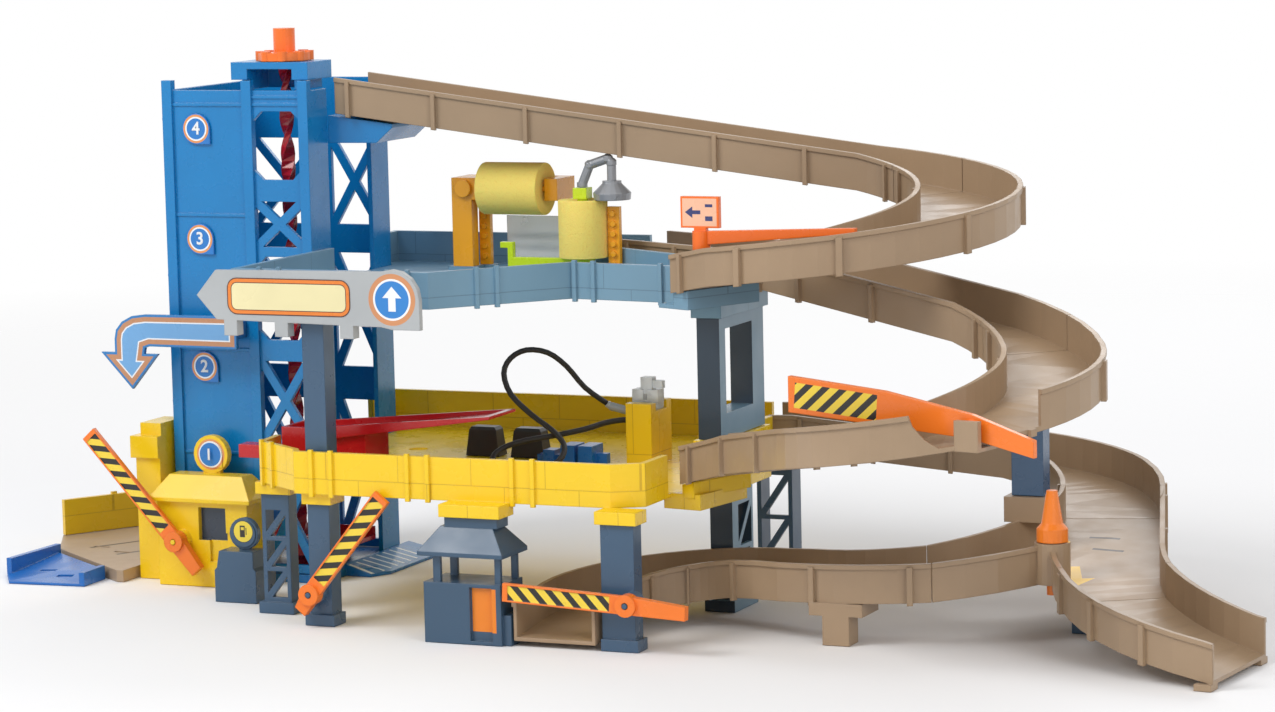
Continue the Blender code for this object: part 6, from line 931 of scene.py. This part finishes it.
pump_slate = moulded("pump_slate", SLATE, shine=0.32)
dial = turned_place(pump_slate, (0.02786, -0.0960, 0.0349), (1, 0, 0))
rings(pump_slate, dial, (0.0055, 0.0052), ((0.03, 0.03, 0.03), PUMP_YELLOW))
pump_outline = two_patches(
    pump_slate,
    dial,
    ((-0.0018, -0.02, -0.0028), (0.0010, 0.02, 0.0030)),
    ((0.0014, -0.02, -0.0016), (0.0019, 0.02, 0.0020)),
)
paint(pump_slate, (0.025, 0.022, 0.02), pump_outline)
pump_window = patch_mask(pump_slate, dial, (-0.0012, -0.02, 0.0008), (0.0004, 0.02, 0.0022))
paint(pump_slate, PUMP_YELLOW, pump_window)
dress(pump_slate, "fuel_pump")


# The long sign on the third deck's edge.
# Pale grey plastic cut to a point, with a bare cream label in an orange border and
# a round badge at its right end.
SIGN_Z = 0.1577
LABEL_WIDE, LABEL_TALL, LABEL_THICK = 0.0656, 0.0176, 0.0001

sign_grey = moulded("sign_grey", (0.42, 0.44, 0.45), shine=0.35)
roundel = turned_place(sign_grey, (0.1391, -0.148, SIGN_Z), (0, 0, 1), (1, 0, 0))
rings(
    sign_grey,
    roundel,
    (0.0122, 0.0098, 0.0088),
    ((0.62, 0.27, 0.12), PRINT_WHITE, (0.03, 0.22, 0.60)),
)
upward_arrow = arrow_mask(
    sign_grey, roundel, (-0.0055, 0.0008, 0.0062), 0.0019, 0.0050, "Z"
)
paint(sign_grey, PRINT_WHITE, upward_arrow)
dress(sign_grey, "big_sign")

label_brown = moulded("label_brown", (0.10, 0.04, 0.025), shine=0.3)
label_orange = moulded("label_orange", (0.80, 0.22, 0.03), shine=0.3)
label_cream = moulded("label_cream", (0.82, 0.74, 0.42), shine=0.32)
deselect_all()
bpy.ops.mesh.primitive_plane_add(size=1, location=(0, 0, 0), rotation=(math.pi / 2, 0, 0))
label = bpy.context.object
label.name = "sign_label"
label.scale = (LABEL_WIDE, LABEL_TALL, 1)
label.location = (0.0845, -0.14812, SIGN_Z)
bpy.ops.object.transform_apply(location=True, rotation=True, scale=True)
for look in (label_brown, label_orange, label_cream):
    label.data.materials.append(look)
edit_all()
bpy.ops.mesh.bevel(offset=0.0052, segments=6, affect="VERTICES")
inset_bands(label, ((1, 0.0005), (0, 0.0016), (2, 0.0004)))
bpy.ops.object.mode_set(mode="OBJECT")
stiff = label.modifiers.new("stiff", "SOLIDIFY")
stiff.thickness = LABEL_THICK
stiff.offset = 0
bpy.ops.object.modifier_apply(modifier="stiff")
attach(label, "garage")


# The curved arrow sign on the tower.
# A blue plate bent into an arrow, with a brown band and a white and blue arrow
# printed in its middle.
FRONT_SLACK = 0.0002

arrow_blue = moulded("arrow_blue", (0.03, 0.20, 0.50), shine=0.28)
arrow_band = moulded("arrow_band", (0.52, 0.25, 0.13), shine=0.3)
arrow_white = moulded("arrow_white", (0.80, 0.84, 0.88), shine=0.3)
arrow_core = moulded("arrow_core", (0.16, 0.38, 0.68), shine=0.3)
arrow_plate = new_object("arrow_plate", nodes["arrow_sign"].data.copy())
arrow_plate.data.materials.clear()
for look in (arrow_blue, arrow_band, arrow_white, arrow_core):
    arrow_plate.data.materials.append(look)
choose(arrow_plate)
edit_all()
bpy.ops.mesh.remove_doubles(threshold=0.000005)
bpy.ops.mesh.dissolve_limited(angle_limit=0.01)
drawing = bmesh.from_edit_mesh(arrow_plate.data)
front = min(corner.co.y for corner in drawing.verts)
for face in drawing.faces:
    at_front = abs(face.calc_center_median().y - front) < FRONT_SLACK
    face.material_index = 0
    face.select = face.normal.y < -0.9 and at_front
bmesh.update_edit_mesh(arrow_plate.data)
inset_bands(arrow_plate, ((1, 0.0012), (2, 0.0024), (3, 0.0007)))
bpy.ops.object.mode_set(mode="OBJECT")
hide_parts("arrow_sign")
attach(arrow_plate, "garage")


# The table, the backdrop and the lamps.
# A pale matt floor that fades into a white room, a broad lamp above and to the
# left, and weaker ones to the right and behind.
FADE_FROM, FADE_TO = 0.55, 1.6
ROOM_LIGHT, ROOM_SEEN = 0.62, 1.0
LAMPS_AIM = Vector((0.22, -0.02, 0.1))

deselect_all()
bpy.ops.mesh.primitive_circle_add(
    vertices=96, radius=4, fill_type="NGON", location=(0.25, 0, -0.0002)
)
table = bpy.context.object
table.name = "table"
pale, tree, gloss = new_look("pale_table")
tree.nodes.remove(gloss)
matt = add_node(tree, "BsdfDiffuse", {"Color": (0.88, 0.88, 0.89, 1)})
gone = add_node(tree, "BsdfTransparent")
fade = add_node(tree, "MapRange", {"From Min": FADE_FROM, "From Max": FADE_TO})
blend = add_node(tree, "MixShader")
wire(
    tree,
    (vectors(tree, "LENGTH", object_place(tree)), fade.inputs["Value"]),
    (fade.outputs["Result"], blend.inputs["Fac"]),
    (matt.outputs["BSDF"], blend.inputs[1]),
    (gone.outputs["BSDF"], blend.inputs[2]),
    (blend.outputs["Shader"], tree.nodes["Material Output"].inputs["Surface"]),
)
table.data.materials.append(pale)

room = bpy.data.worlds.new("room")
bpy.context.scene.world = room
room.use_nodes = True
tree = room.node_tree
glow = tree.nodes["Background"]
glow.inputs["Color"].default_value = (1, 1, 1, 1)
ray = add_node(tree, "LightPath").outputs
seen = maths(tree, "MAXIMUM", ray["Is Camera Ray"], ray["Is Transmission Ray"])
seen_or_mirrored = maths(tree, "MAXIMUM", seen, ray["Is Glossy Ray"])
room_level = add_node(tree, "MapRange", {"To Min": ROOM_LIGHT, "To Max": ROOM_SEEN})
wire(
    tree,
    (seen_or_mirrored, room_level.inputs["Value"]),
    (room_level.outputs["Result"], glow.inputs["Strength"]),
)

for name, spot, size, power in (
    ("lamp_left", (-0.7, -1.3, 1.6), 0.9, 22),
    ("lamp_right", (1.6, -1.1, 0.9), 0.8, 8),
    ("lamp_behind", (0.2, 1.4, 1.3), 1.0, 8),
):
    lamp = bpy.data.lights.new(name, "AREA")
    lamp.size = size
    lamp.energy = power
    holder = new_object(name, lamp)
    holder.location = spot
    aim = LAMPS_AIM - Vector(spot)
    holder.rotation_euler = aim.to_track_quat("-Z", "Y").to_euler()
